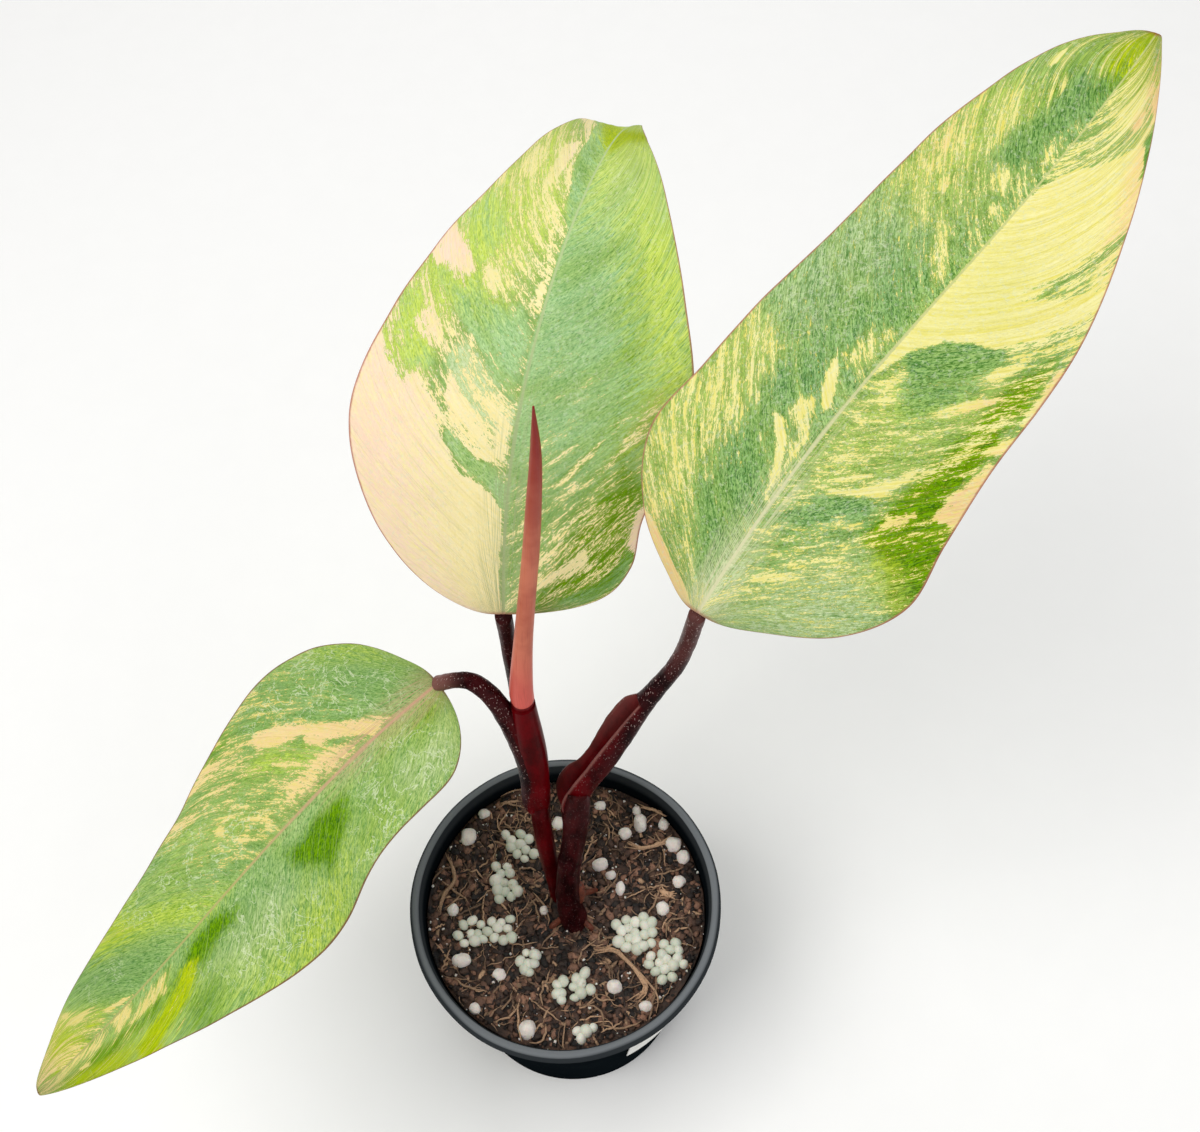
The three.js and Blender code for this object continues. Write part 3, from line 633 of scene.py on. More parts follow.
            [0.7, 1.8, 675, -220, 680, -310, 720, -340, 775, -340, 775, -280, 740, -200, 690, -100, 650,
             -80],
            [0.8, 1.2, 750, -10, 760, -200, 800, -300, 805, -20],
            [0.7, 3, 820, -20, 840, -280, 900, -300, 920, -20],
            [1.0, 1.0, 875, -440, 880, -550, 900, -550, 900, -440],
            [0.52, 3, 860, -200, 930, -500, 970, -900, 1010, -1000, 1010, 1000, 930, 800, 860, 200],
        ],
        "green": [
            [1.0, 3, 660, 50, 730, 100, 790, 250, 810, 500, 860, 750, 870, 980, 800, 980, 720, 600, 660,
             350, 630, 150],
        ],
        "peach": [
            [0.6, 3, 80, 0, 300, 0, 350, 750, 270, 700, 100, 200],
            [0.5, 4, 300, 300, 500, 800, 550, 1050, 350, 1050],
            [0.9, 4, 960, -400, 975, -1050, 1020, -1050, 1020, 1050, 940, 1050, 950, 100],
        ],
        "lime": [
            [0.55, 12, 0, -900, 900, -950, 900, -300, 620, -300, 400, -600, 200, -400, 0, -200],
            [1.0, 6, 500, 20, 560, 20, 630, 300, 700, 600, 790, 1050, 680, 1050, 630, 750, 560, 400],
            [0.75, 6, 300, -850, 360, -620, 500, -750, 600, -1050, 400, -1050],
            [0.8, 4, 220, 220, 260, 250, 330, 500, 290, 520],
            [0.55, 6, 30, 850, 60, 700, 130, 800, 170, 1050, 20, 1050],
            [0.7, 7, 800, 200, 900, 300, 960, 1050, 900, 1050, 830, 600],
            [0.4, 6, 400, 300, 600, 300, 660, 900, 500, 800],
        ],
        "vivid": [
            [1.4, 2.5, 610, -280, 630, -420, 660, -560, 700, -700, 740, -880, 750, -1050, 790, -1050, 785,
             -800, 750, -650, 700, -500, 660, -360, 630, -240],
            [0.75, 5, 790, -700, 800, -1050, 950, -1050, 930, -600],
            [0.45, 5, 660, 620, 700, 620, 770, 880, 700, 950],
            [0.5, 4, 820, 120, 880, 120, 880, 340, 820, 300],
            [0.75, 5, 870, 0, 950, 0, 970, 900, 910, 900],
        ],
        "deep": [
            [0.6, 6, 610, 20, 720, 20, 800, 300, 860, 750, 870, 1000, 800, 1000, 700, 550, 630, 250],
            [0.6, 8, 30, 60, 120, 160, 270, 660, 300, 900, 160, 900, 50, 600],
            [0.55, 8, 370, -150, 400, -450, 550, -620, 620, -450, 500, -150],
            [0.4, 6, 80, -300, 240, -300, 280, -750, 60, -850],
            [0.45, 8, 420, 100, 500, 100, 640, 800, 580, 950, 460, 500],
            [0.4, 4, 560, -620, 640, -950, 670, -800, 620, -500, 580, -500],
        ],
        "emerald": [
            [1.3, 3.2, 235, -240, 250, -450, 290, -580, 330, -660, 335, -540, 355, -420, 370, -320, 365,
             -200, 330, -240, 300, -200, 260, -220],
            [1.3, 3.2, 500, -200, 515, -280, 550, -280, 600, -360, 625, -250, 610, -120, 570, -80, 530,
             -100],
            [0.6, 4, 600, -200, 660, -380, 720, -500, 780, -550, 880, -500, 940, -980, 880, -980, 900, -400,
             780, -380, 680, -280, 610, -120],
            [0.55, 5, 600, -620, 640, -950, 680, -950, 660, -600],
            [0.8, 4, 720, -420, 800, -500, 830, -1050, 960, -1050, 940, -500, 860, -340, 760, -360],
            [0.45, 4, 330, 880, 390, 920, 400, 1050, 330, 1050],
            [0.4, 5, 0, -150, 70, -150, 60, -450, 0, -500],
        ],
        "pale": [
            [0.35, 6, 30, -500, 140, -450, 140, -900, 30, -900],
            [0.35, 6, 400, -300, 560, -400, 560, -750, 440, -600],
        ],
        "mineral": [
            [0.95, 6, 0, -300, 60, -1000, 300, -1000, 300, -700, 220, -500, 200, -50, 20, -50],
            [0.9, 5, 370, -80, 380, -500, 360, -900, 560, -950, 620, -400, 500, -80],
            [0.85, 6, 20, 100, 100, 100, 300, 700, 300, 1000, 50, 1000],
            [0.8, 6, 340, 100, 600, 100, 680, 600, 700, 1000, 500, 900, 360, 400],
            [1.1, 3, 390, 340, 430, 310, 470, 360, 475, 480, 450, 540, 400, 500],
            [0.6, 5, 700, 300, 820, 400, 860, 900, 740, 700],
            [0.5, 5, 800, -600, 920, -600, 900, -900, 800, -900],
        ],
    },
}

# Colours of each blade, in screen values; rib is the midrib's from the base to the middle.
leafTones = {
    "leaf_right": {
        "cream": [(238, 226, 100), (252, 246, 182)],
        "warm": [(250, 216, 142), (252, 206, 160)],
        "green": [(58, 118, 50), (164, 206, 132)],
        "rib": [(222, 220, 178), (206, 210, 140)],
        "rim": [(188, 112, 104), (170, 50, 48)],
        "lime": [(112, 160, 34), (206, 226, 108)],
        "dustAndShade": 0.3,
        "grain": (0.42, 0.58),
    },
    "leaf_back": {
        "cream": [(252, 236, 158), (255, 242, 190)],
        "warm": [(255, 222, 186), (255, 228, 210)],
        "green": [(112, 170, 104), (206, 236, 170)],
        "rib": [(164, 178, 128), (190, 208, 150)],
        "rim": [(188, 112, 104), (160, 62, 50)],
        "lime": [(166, 200, 54), (226, 240, 120)],
        "dustAndShade": 0.24,
        "grain": (0.3, 0.7),
    },
    "leaf_left": {
        "cream": [(232, 212, 110), (242, 226, 158)],
        "warm": [(244, 206, 148), (246, 218, 166)],
        "green": [(88, 144, 66), (184, 214, 136)],
        "rib": [(206, 162, 134), (184, 178, 112)],
        "rim": [(136, 62, 66), (150, 62, 56)],
        "lime": [(126, 172, 30), (210, 228, 96)],
        "dustAndShade": 0.08,
        "grain": (0.36, 0.64),
    },
}

marksOfCream = ("creamLeft", "creamRight", "cream", "green")

bladeFields = {  # vectors kept at a blade's points for its material
    "creamPeachLime": ("cream", "peach", "lime"),
    "vividDeepEmerald": ("vivid", "deep", "emerald"),
    "paleMineralUnder": ("pale", "mineral", "under"),
    "ribPlace": ("alongRib", "acrossRib", "toRim"),
}

bladeNoises = {  # features in 100 mm across and along the veins, detail, roughness and distortion
    "streaks": ((30, 8), 4, 0.62, 0.9),
    "long": ((48, 15), 5, 0.7, 1.1),
    "middle": ((98, 44), 4, 0.72, 1.2),
    "dustAndShade": ((170, 120), 3, 0.75, 0),
    "broad": ((9, 4), 3, 0.5, 0),
    "veins": ((170, 3), 2, 0.5, 0),
    "lines": ((70, 1.6), 2, 0.5, 0),
}

bladeInk = {  # screen values; a pair runs from the dark to the light grain
    "broad": [(98, 150, 48), (190, 218, 120)],
    "amongFlecks": [(62, 116, 26), (152, 188, 92)],
    "deep": [(58, 114, 44), (148, 190, 104)],
    "emerald": [(30, 90, 0), (128, 178, 0)],
    "vivid": [(136, 174, 0), (206, 218, 10)],
    "pale": [(172, 202, 136), (224, 236, 186)],
    # painted shade: the dark green laid over the fine grain of the greens
    "dustAndShade": (62, 106, 22),
    "halfCream": [(190, 208, 112), (186, 196, 10)],
    "limeCream": (216, 218, 108),
    "fleckEdge": (96, 128, 34),
    "darkVein": (140, 150, 76),
    "paleVein": (248, 242, 196),
    "speck": (226, 234, 206),
    # partly mineral bloom, partly painted sheen
    "bloomAndSheen": (200, 218, 196),
    "ring": (220, 232, 190),
    "under": (168, 176, 130),
}

blade = {
    "stations": 260,
    "columns": 65,  # from the midrib to one margin
    "thickness": 0.62,
    "edgeThickness": 0.34,
    "ribDepth": 1.3,
    "veinSweep": 0.21,  # how far a side vein runs on towards the tip, as a share of the midrib
    "veinCurve": 1.25,
    "quiltPitch": 0.042,  # shares of the midrib between two main side veins
    "quiltDepth": 0.09,
    "tear": 1.35,  # how much wider than its list says a marking's edge is torn
    "dents": 0.35,
    "dentSize": 26,
    "groove": 0.35,  # depth over the midrib, on the upper side
    "foldRadius": 4,  # how gently the two halves turn into each other at the midrib
}


def bladePoint(leaf, share, side):
    # midrib point, plus w across, plus the fold, sag and ripple along the normal
    station = np.arccos(1 - 2 * share) / np.pi
    handles = np.array(leaf["midrib"], float)
    middle = bezierThrough(handles, share)
    direction = unit(bezierThrough(np.diff(handles, axis=0), share))
    across = unit(np.cross(direction, bezierThrough(leaf["face"], share)))
    normal = np.cross(across, direction)
    width = np.where(side < 0, valueThrough(leaf["left"], station), valueThrough(leaf["right"], station))
    fold = np.where(side < 0, valueThrough(leaf["foldLeft"], share), valueThrough(leaf["foldRight"], share))
    w = side * width
    ripple = leaf["ripple"]
    wave = np.sin(2 * np.pi * ripple["waves"] * share + ripple["phase"])
    wave = wave * np.sqrt(np.clip(np.sin(np.pi * share), 0, 1)) * (w / leaf["wide"]) ** 2
    gentle = blade["foldRadius"]
    lift = fold * (np.hypot(w, gentle) - gentle) - leaf["droop"] * w * w / leaf["wide"]
    lift = lift + np.where(w * ripple["side"] > 0, ripple["height"], 0) * wave
    return middle + across * w[:, None] + normal * lift[:, None], normal, w


def markShare(places, mark, stretch):
    # how full the marking is, and a share from 0 outside its outline to 1 inside it:
    # the signed distance to the outline over its softness
    amount, soft, *corners = mark
    corners = np.reshape(corners, (-1, 2)) / 1000 * stretch
    following = np.roll(corners, -1, 0)
    edges = following - corners
    points = places * stretch
    away = points[:, None] - corners
    part = np.clip((away * edges).sum(-1) / np.maximum((edges**2).sum(-1), 1e-9), 0, 1)
    distance = np.linalg.norm(away - part[..., None] * edges, axis=-1).min(1)
    above = points[:, 1, None] < corners[:, 1]
    crosses = above != (points[:, 1, None] < following[:, 1])
    slope = edges[:, 0] / np.where(edges[:, 1] == 0, 1e-9, edges[:, 1])
    at = corners[:, 0] + (points[:, 1, None] - corners[:, 1]) * slope
    inside = (crosses & (points[:, 0, None] < at)).sum(1) % 2 == 1
    soft = soft * blade["tear"]
    return amount, smoothShare(-soft, soft, np.where(inside, distance, -distance))


def leafFields(marks, share, side, length, halfWidth):
    # how much of each marking there is at each point
    places = np.stack([share, side], 1)
    stretch = np.array([length, halfWidth])

    def layer(name, start):
        total = start
        for mark in marks[name]:
            amount, inside = markShare(places, mark, stretch)
            total = np.maximum(total, amount * inside + np.minimum(total, 0) * (1 - inside))
        return total

    left, right = valueThrough(marks["creamLeft"], share), valueThrough(marks["creamRight"], share)
    cream = layer("cream", np.where(side < 0, left, right))
    for mark in marks["green"]:
        amount, inside = markShare(places, mark, stretch)
        cream = cream - amount * inside
    layers = {name: layer(name, np.zeros(len(share))) for name in marks if name not in marksOfCream}
    return {"cream": cream, **layers}


def leafFinish(name):
    # greens with painted shade in their fine grain, then cream where its amount beats the noise, then
    # veins, dust, a pale haze that is mineral bloom and painted sheen, midrib and margin
    leaf = Finish(name + "_surface", **{"Specular IOR Level": 0.03, "IOR": 1.45})
    tones = leafTones[name]
    cream, peach, lime, vivid, deep, emerald, pale, mineral, under, alongRib, acrossRib, toRim = (
        part for key in bladeFields for part in leaf.parts(leaf.field(key).outputs["Vector"]))
    streaks, long, middle, dustAndShade, broad, veins, lines = (
        leaf.noise(leaf.place((*pitch, 1), "surfaceMap"), 1, *rest)
        for pitch, *rest in bladeNoises.values())
    coarse = leaf.plus(leaf.times(long, 0.5), leaf.times(middle, 0.5))
    fine = leaf.plus(leaf.times(middle, 0.5), leaf.times(dustAndShade, 0.5))
    pattern = leaf.plus(leaf.times(long, 0.26), leaf.times(fine, 0.52))
    pattern = leaf.plus(leaf.times(streaks, 0.22), pattern)
    fullness = leaf.sum("SUBTRACT", cream, leaf.between(pattern, -3.4, 4.4))
    ragged = leaf.between(coarse, -2.4, 2.4)
    grain = leaf.share(fine, *tones["grain"])
    darkOrVivid = leaf.sum("MAXIMUM", emerald, vivid)

    def frayed(amount):
        # the marking's amount, torn along the veins where its edge fades
        tear = leaf.times(ragged, leaf.sum("MINIMUM", leaf.times(amount, 3), 1.0))
        return leaf.plus(amount, tear, clamp=True)

    layers = [
        (leaf.between(leaf.share(broad, 0.45, 0.65), 0, 0.6), bladeInk["broad"]),
        (leaf.between(leaf.share(cream, 0.05, 0.42), 0, 0.8), bladeInk["amongFlecks"]),
        (frayed(lime), tones["lime"]),
        (frayed(deep), bladeInk["deep"]),
        (frayed(emerald), bladeInk["emerald"]),
        (frayed(vivid), bladeInk["vivid"]),
        (frayed(pale), bladeInk["pale"]),
    ]
    green = leaf.shade(grain, tones["green"])
    for amount, pair in layers:
        green = leaf.mix(amount, green, leaf.shade(grain, pair))
    # painted shade: the fine grain's low parts darkened towards dark green
    green = leaf.tint(green, leaf.between(leaf.share(dustAndShade, 0.45, 0.32), 0, 0.5), bladeInk["dustAndShade"])
    halfCream = leaf.between(leaf.share(fullness, -0.4, -0.05), 0, 0.38)
    green = leaf.mix(halfCream, green, leaf.shade(darkOrVivid, bladeInk["halfCream"]))

    rows = leaf.plus(leaf.share(lines, 0.3, 0.62), leaf.share(middle, 0.3, 0.7))
    yellow = leaf.shade(leaf.times(rows, 0.5), tones["cream"])
    yellow = leaf.tint(yellow, leaf.times(lime, 0.4), bladeInk["limeCream"])
    warm = leaf.mix(frayed(peach), yellow, leaf.shade(broad, tones["warm"]))
    surface = leaf.mix(leaf.share(fullness, -0.02, 0.05), green, warm)
    fleckEdge = leaf.share(leaf.size(leaf.plus(fullness, 0.06)), 0.07, 0.01)
    surface = leaf.tint(surface, leaf.times(fleckEdge, 0.28), bladeInk["fleckEdge"])
    surface = leaf.tint(surface, leaf.between(leaf.share(veins, 0.54, 0.72), 0, 0.16), bladeInk["darkVein"])
    surface = leaf.tint(surface, leaf.between(leaf.share(veins, 0.44, 0.28), 0, 0.12), bladeInk["paleVein"])

    specks = leaf.noise(leaf.place(), 900, 3, 0.7)
    speck = leaf.times(leaf.share(specks, 0.55, 0.64), leaf.between(darkOrVivid, tones["dustAndShade"], 0.03))
    surface = leaf.tint(surface, speck, bladeInk["speck"])
    crust = leaf.times(mineral, leaf.between(emerald, 1, 0.1))
    # pale haze over the mineral crust: partly mineral bloom, partly painted sheen
    bloomAndSheen = leaf.times(leaf.share(leaf.noise(leaf.place(), 150, 4), 0.48, 0.62), leaf.times(crust, 0.05))
    surface = leaf.tint(surface, bloomAndSheen, bladeInk["bloomAndSheen"])
    curls = leaf.noise(leaf.place(), 125, 4, 0.62, 0.6)
    ring = leaf.share(leaf.size(leaf.sum("SUBTRACT", curls, 0.5)), 0.013, 0.004)
    broken = leaf.share(leaf.noise(leaf.place(), 70, 2), 0.3, 0.42)
    ring = leaf.times(leaf.times(ring, broken), crust, clamp=True)
    surface = leaf.tint(surface, leaf.times(ring, 0.75), bladeInk["ring"])

    ribColour = leaf.shade(leaf.share(alongRib, 0.1, 0.6), tones["rib"])
    fan = leaf.sum("DIVIDE", acrossRib, leaf.between(alongRib, 0.03, 0.5))
    fanPlace = leaf.add("CombineXYZ", {0: leaf.times(fan, 38), 1: leaf.times(alongRib, 9)}).outputs[0]
    rays = leaf.share(leaf.noise(fanPlace, 1, 3, 0.6), 0.46, 0.58)
    nearRib = leaf.share(leaf.size(acrossRib), leaf.between(alongRib, 0.11, 0.014), 0.0)
    fade = leaf.times(leaf.times(nearRib, leaf.share(alongRib, 0.5, 0.02)), 0.95)
    surface = leaf.mix(leaf.times(rays, fade), surface, ribColour)
    ribHalf = leaf.between(alongRib, 0.007, 0.003)
    rib = leaf.share(leaf.size(acrossRib), ribHalf, leaf.times(ribHalf, 0.4))
    surface = leaf.mix(leaf.times(rib, 0.9), surface, ribColour)
    rim = leaf.share(leaf.plus(toRim, leaf.between(long, -0.008, 0.008)), 0.017, 0.004)
    rimColour = leaf.shade(leaf.share(alongRib, 0.965, 0.995), tones["rim"])
    surface = leaf.mix(leaf.times(rim, 0.8), surface, rimColour)
    leaf.colour(leaf.mix(under, surface, leaf.tint(surface, 0.5, bladeInk["under"])))
    leaf.rough(leaf.between(leaf.plus(specks, under), 0.3, 0.55))
    leaf.relief(leaf.plus(leaf.times(veins, 0.4), leaf.times(fine, 1.2)), 0.0005, 0.9)
    return leaf.material


def makeLeaf(name):
    # the blade's surface twice, half a thickness up and down its normal, closed round its margin
    leaf = leafShapes[name]
    rows = (1 - np.cos(np.pi * np.linspace(0, 1, blade["stations"]))) / 2
    half = np.linspace(0, 1, blade["columns"]) ** 0.9
    columns = np.concatenate([-half[:0:-1], half])
    share = np.repeat(rows, len(columns))
    side = np.tile(columns, len(rows))
    point, normal, w = bladePoint(leaf, share, side)
    length = np.linalg.norm(np.diff(bladePoint(leaf, rows, rows * 0)[0], axis=0), axis=1).sum()
    veinPlace = share - blade["veinSweep"] * np.abs(side) ** blade["veinCurve"]
    out = np.abs(side)
    quilt = np.cos(2 * np.pi * veinPlace / blade["quiltPitch"]) * blade["quiltDepth"]
    quilt = quilt * smoothShare(0.02, 0.3, out) * smoothShare(1, 0.8, out) * np.sin(np.pi * share)
    quilt = quilt + rumple(point, blade["dentSize"], 5, 2) * blade["dents"] * smoothShare(0, 0.3, out)
    groove = -blade["groove"] * bump(w, 0, 1.1) * (1 - share)
    thickness = blade["thickness"] + (blade["edgeThickness"] - blade["thickness"]) * side**4
    ribUnder = blade["ribDepth"] * (1 - 0.8 * share) * bump(w, 0, 2)
    top = point + normal * (thickness / 2 + quilt + groove)[:, None]
    bottom = point - normal * (thickness / 2 - quilt + ribUnder)[:, None]
    count, deep, wide = len(share), len(rows), len(columns)
    border = np.concatenate([
        np.arange(wide),
        np.arange(1, deep) * wide + wide - 1,
        np.arange(wide - 2, -1, -1) + (deep - 1) * wide,
        np.arange(deep - 2, 0, -1) * wide,
    ])
    following = np.roll(border, -1)
    quads = np.concatenate([
        gridQuads(deep, wide, False),
        gridQuads(deep, wide, False, count)[:, ::-1],
        np.stack([border, border + count, following + count, following], 1),
    ])
    kept = leafFields(leafMarks[name], share, side, length, np.abs(w).max())
    kept["under"] = np.zeros(count)
    kept["alongRib"], kept["acrossRib"] = share, w / 100
    kept["toRim"] = np.minimum(1 - out, 2 * np.minimum(share, 1 - share) + 0.006)
    fields = {key: np.tile(np.stack([kept[part] for part in parts], 1), (2, 1))
              for key, parts in bladeFields.items()}
    fields["paleMineralUnder"][count:, 2] = 1
    uv = np.tile(np.stack([veinPlace * length / 100, w / 100], 1), (2, 1))
    newPiece(name + "_blade", np.concatenate([top, bottom]), quads, fields=fields, uv=uv,
             material=leafFinish(name), nodes=[name], slot=leaf["slot"])
    print("made", name, "with", len(quads), "faces, midrib", round(length), "mm")


for name in leafShapes:
    makeLeaf(name)


# Stalks and stems

# Each place on a path is x, y, z and the radius there.
stalkPaths = {
    "petiole_left": [[-6.0, 14.8, 125.5, 2.8], [-6.3, 16.4, 130, 4.4], [-6.3, 19.1, 140, 4.5],
                     [-7.1, 22.0, 152, 4.6], [-10.4, 24.7, 165, 3.9], [-13.6, 25.3, 178, 3.1],
                     [-16.8, 26.1, 187, 2.8], [-20.6, 26.1, 193.6, 2.5], [-25.2, 26.8, 193.5, 2.3],
                     [-30.4, 28.8, 188.1, 2.3]],
    "sheath_left": [[-5.6, 17.4, 132, 3.0], [-5.9, 19.3, 141, 4.2], [-6.2, 21.7, 152, 4.6],
                    [-6.7, 23.6, 162, 4.5], [-7.1, 25.0, 171, 4.1], [-7.3, 26.0, 179, 3.7]],
    "petiole_right": [[4.2, 14.6, 125.5, 3.4], [4.9, 17.0, 130, 4.7], [8.4, 19.7, 137, 4.9],
                      [14.0, 22.2, 147, 5.0], [19.7, 24.5, 158, 4.6], [25.1, 25.9, 170, 3.7],
                      [30.6, 26.7, 182, 2.9], [35.8, 26.7, 195, 2.6], [38.8, 26.4, 208, 2.5],
                      [41.0, 23.9, 229.4, 2.4]],
    "petiole_back": [[-5.6, 14.2, 113.5, 2.0], [-5.8, 18.6, 118, 3.1], [-6.1, 22.0, 124, 3.3],
                     [-6.6, 25.6, 134, 3.2], [-7.3, 29.0, 146, 3.1], [-8.4, 32.6, 160, 2.9],
                     [-9.3, 35.2, 176, 2.6], [-9.9, 36.2, 196, 2.4], [-10.1, 36.0, 212.6, 2.4]],
    "old_stem": [[2.6, -5.2, 58, 3.6], [2.6, -3.6, 72, 4.5], [1.3, 0.3, 86, 4.2], [2.1, 4.8, 101, 3.8],
                 [4.4, 8.9, 115, 3.9], [6.0, 14.0, 129, 4.2], [6.6, 16.0, 136, 3.2]],
    "young_stem": [[-3.2, 3.6, 60, 2.0], [-3.0, 5.4, 72, 2.3], [-3.8, 7.8, 90, 2.6],
                   [-4.8, 10.3, 108, 3.0], [-5.5, 13.6, 126, 3.0], [-5.9, 15.6, 133, 2.6]],
    "new_leaf": [[-6.8, 22.6, 158, 2.6], [-7.2, 25.6, 174, 3.7], [-7.3, 26.9, 186, 3.7],
                 [-5.4, 30.1, 206, 2.95], [-3.0, 33.0, 226, 2.6], [-0.6, 35.4, 246, 2.45],
                 [1.4, 36.9, 266, 2.15], [3.0, 37.0, 285, 1.5], [3.7, 34.9, 305, 0.25]],
}


def alongPath(places, count):
    # points, radii and the two directions across the path, at even shares of it
    shares = np.linspace(0, 1, count)
    line = curveThrough(places, shares)
    ahead = curveThrough(places, shares + 1e-3)[:, :3]
    direction = unit(ahead - curveThrough(places, shares - 1e-3)[:, :3])
    across = unit(np.cross([1, 0.2, 0], direction))
    return shares, line[:, :3], line[:, 3], across, np.cross(direction, across)


def spokesOut(turn, across, up):
    # unit vectors out from a path, for each of its places and each turn
    return np.cos(turn)[None, :, None] * across[:, None] + np.sin(turn)[None, :, None] * up[:, None]


def tubeMesh(middle, radius, across, up, start=0):
    # rings of spokes about the path, each spoke its own length, closed at both ends by a pole
    rings, spokes = radius.shape
    spoke = spokesOut(evenTurns(spokes), across, up)
    points = (middle[:, None] + radius[..., None] * spoke).reshape(-1, 3)
    ends = np.stack([points[:spokes].mean(0), points[-spokes:].mean(0)])
    quads = gridQuads(rings, spokes, True, start)
    return np.concatenate([points, ends]), quads, poleFans(rings, spokes, start)


def dented(middle, reach, turn, across, up, size, seed):
    # slow humps and dents at each point of a tube, about -1 to 1
    return rumple(middle[:, None] + reach[..., None] * spokesOut(turn, across, up), size, seed, 3)


def withPoles(values):
    # numbers on the rings, repeated for the two poles
    flat = values.reshape(-1, *values.shape[2:])
    return np.concatenate([flat, values[:1].mean(1), values[-1:].mean(1)])


stalkInk = {  # screen values; a pair runs from dark to light blotches
    "maroon": [(24, 2, 4), (58, 14, 17)],
    "crimson": [(64, 0, 2), (100, 0, 8)],
    "pale": [(116, 66, 62), (160, 116, 108)],
    "fleck": (196, 166, 160),
}


def stalkFinish():
    # maroon, then crimson and pale by their amounts, then pale flecks
    stalk = Finish("stalk_skin", **{"Specular IOR Level": 0.03})
    red, speckled, pale = stalk.parts(stalk.field("redSpeckledPale").outputs["Vector"])
    blotch = stalk.noise(stalk.place((1, 1, 0.4)), 190, 4, 0.65)
    flecks = stalk.noise(stalk.place((1, 1, 0.6)), 1700, 2, 0.6)
    fleck = stalk.times(stalk.share(flecks, 0.62, 0.68), speckled)
    skin = stalk.shade(stalk.share(blotch, 0.35, 0.65), stalkInk["maroon"])
    skin = stalk.mix(red, skin, stalk.shade(stalk.share(blotch, 0.3, 0.7), stalkInk["crimson"]))
    skin = stalk.mix(pale, skin, stalk.shade(blotch, stalkInk["pale"]))
    stalk.colour(stalk.tint(skin, stalk.times(fleck, 0.75), stalkInk["fleck"]))
    stalk.rough(stalk.between(blotch, 0.22, 0.4))
    stalk.relief(stalk.plus(fleck, stalk.times(blotch, 0.9)), 0.0003, 0.8)
    return stalk.material


plainStalks = {  # amounts of red, flecks and pale from foot to end; knots are share, height, width
    "petiole_back": {"red": [0.4, 0.1, 0, 0, 0, 0], "speckled": [0.3, 0.5, 0.5, 0.3],
                     "pale": [0, 0, 0.02, 0.04], "slot": "petiole", "knots": []},
    "old_stem": {"red": [0, 0, 0, 0.02, 0.06, 0.15], "speckled": [0.1, 0.15, 0.1],
                 "pale": [0.02, 0, 0.03], "slot": "dark_stem",
                 "knots": [[0.22, 0.35, 0.02], [0.36, 0.25, 0.015], [0.55, 0.3, 0.02], [0.78, 0.35, 0.02]]},
    "young_stem": {"red": [0.6, 0.8, 0.8, 0.75, 0.7, 0.6], "speckled": [0.05, 0.05, 0.05, 0.1],
                   "pale": [0, 0, 0, 0], "slot": "red_stem",
                   "knots": [[0.93, 0.12, 0.015], [0.45, 0.1, 0.02]]},
}


def makePlainStalk(name, finish, rings=90, spokes=36):
    # the path's radius with fine ribs along it, knots round it and slow dents
    stalk = plainStalks[name]
    shares, middle, radius, across, up = alongPath(stalkPaths[name], rings)
    turn = evenTurns(spokes)
    knots = sum((height * bump(shares, at, width) for at, height, width in stalk["knots"]), np.zeros(rings))
    ribs = 0.012 * np.cos(9 * turn) + 0.008 * np.cos(14 * turn + 1)
    reach = radius[:, None] * (1 + ribs) + knots[:, None]
    reach = reach + 0.1 * dented(middle, reach, turn, across, up, 9, 3) - 0.05
    points, quads, fans = tubeMesh(middle, reach, across, up)
    tones = [np.broadcast_to(valueThrough(stalk[key], shares)[:, None], reach.shape)
             for key in ("red", "speckled", "pale")]
    fields = {"redSpeckledPale": withPoles(np.stack(tones, -1))}
    newPiece(name + "_skin", points, quads, fans, fields=fields, material=finish, nodes=[name],
             slot=stalk["slot"])


leftStalk = {
    # through its length, the turn in degrees where crimson starts
    "redFrom": [-75, -50, -22, -16, -14, 8, 70, 90, 90],
    "baseRing": 0.035,
    "rings": 140,
    "sheathRings": 60,
    "spokes": 48,
}


def signedTurn(turn, facing=0):
    # turns from the facing one, -pi to pi
    return ((turn - facing + np.pi) % (2 * np.pi) - np.pi)[None, :]


def makeLeftStalk(finish):
    # the arched stalk, crimson where it joins the sheath that holds the new leaf's foot
    turn = evenTurns(leftStalk["spokes"])
    signed = signedTurn(turn)
    shares, middle, radius, across, up = alongPath(stalkPaths["petiole_left"], leftStalk["rings"])
    reach = radius[:, None] * (0.985 + 0.012 * np.cos(8 * turn))
    reach = reach + 0.12 * dented(middle, reach, turn, across, up, 8, 4)
    points, quads, fans = tubeMesh(middle, reach, across, up)
    edge = np.radians(valueThrough(leftStalk["redFrom"], shares))[:, None]
    crimson = smoothShare(-0.12, 0.12, signed - edge) * smoothShare(0.56, 0.42, shares)[:, None]
    red = np.clip(crimson + 0.3 * smoothShare(0.3, 0.05, shares)[:, None], 0, 1)
    pale = 0.8 * smoothShare(0.8, 1.0, shares) + 0.5 * bump(shares, leftStalk["baseRing"], 0.012)
    tones = np.stack(np.broadcast_arrays(red, 1 - 0.9 * crimson, pale[:, None]), -1)
    shares, middle, radius, across, up = alongPath(stalkPaths["sheath_left"], leftStalk["sheathRings"])
    reach = np.repeat(radius[:, None], len(turn), 1) * 0.99
    sheathPoints, sheathQuads, sheathFans = tubeMesh(middle, reach, across, up, len(points))
    red = np.broadcast_to(smoothShare(-1.5, -1.1, signed), reach.shape)
    sheathTones = np.stack([red, 0.5 - 0.5 * red, 0 * red], -1)
    fields = {"redSpeckledPale": np.concatenate([withPoles(tones), withPoles(sheathTones)])}
    newPiece("petiole_left_skin", np.concatenate([points, sheathPoints]),
             np.concatenate([quads, sheathQuads]), np.concatenate([fans, sheathFans]), fields=fields,
             material=finish, nodes=["petiole_left"], slot="petiole")


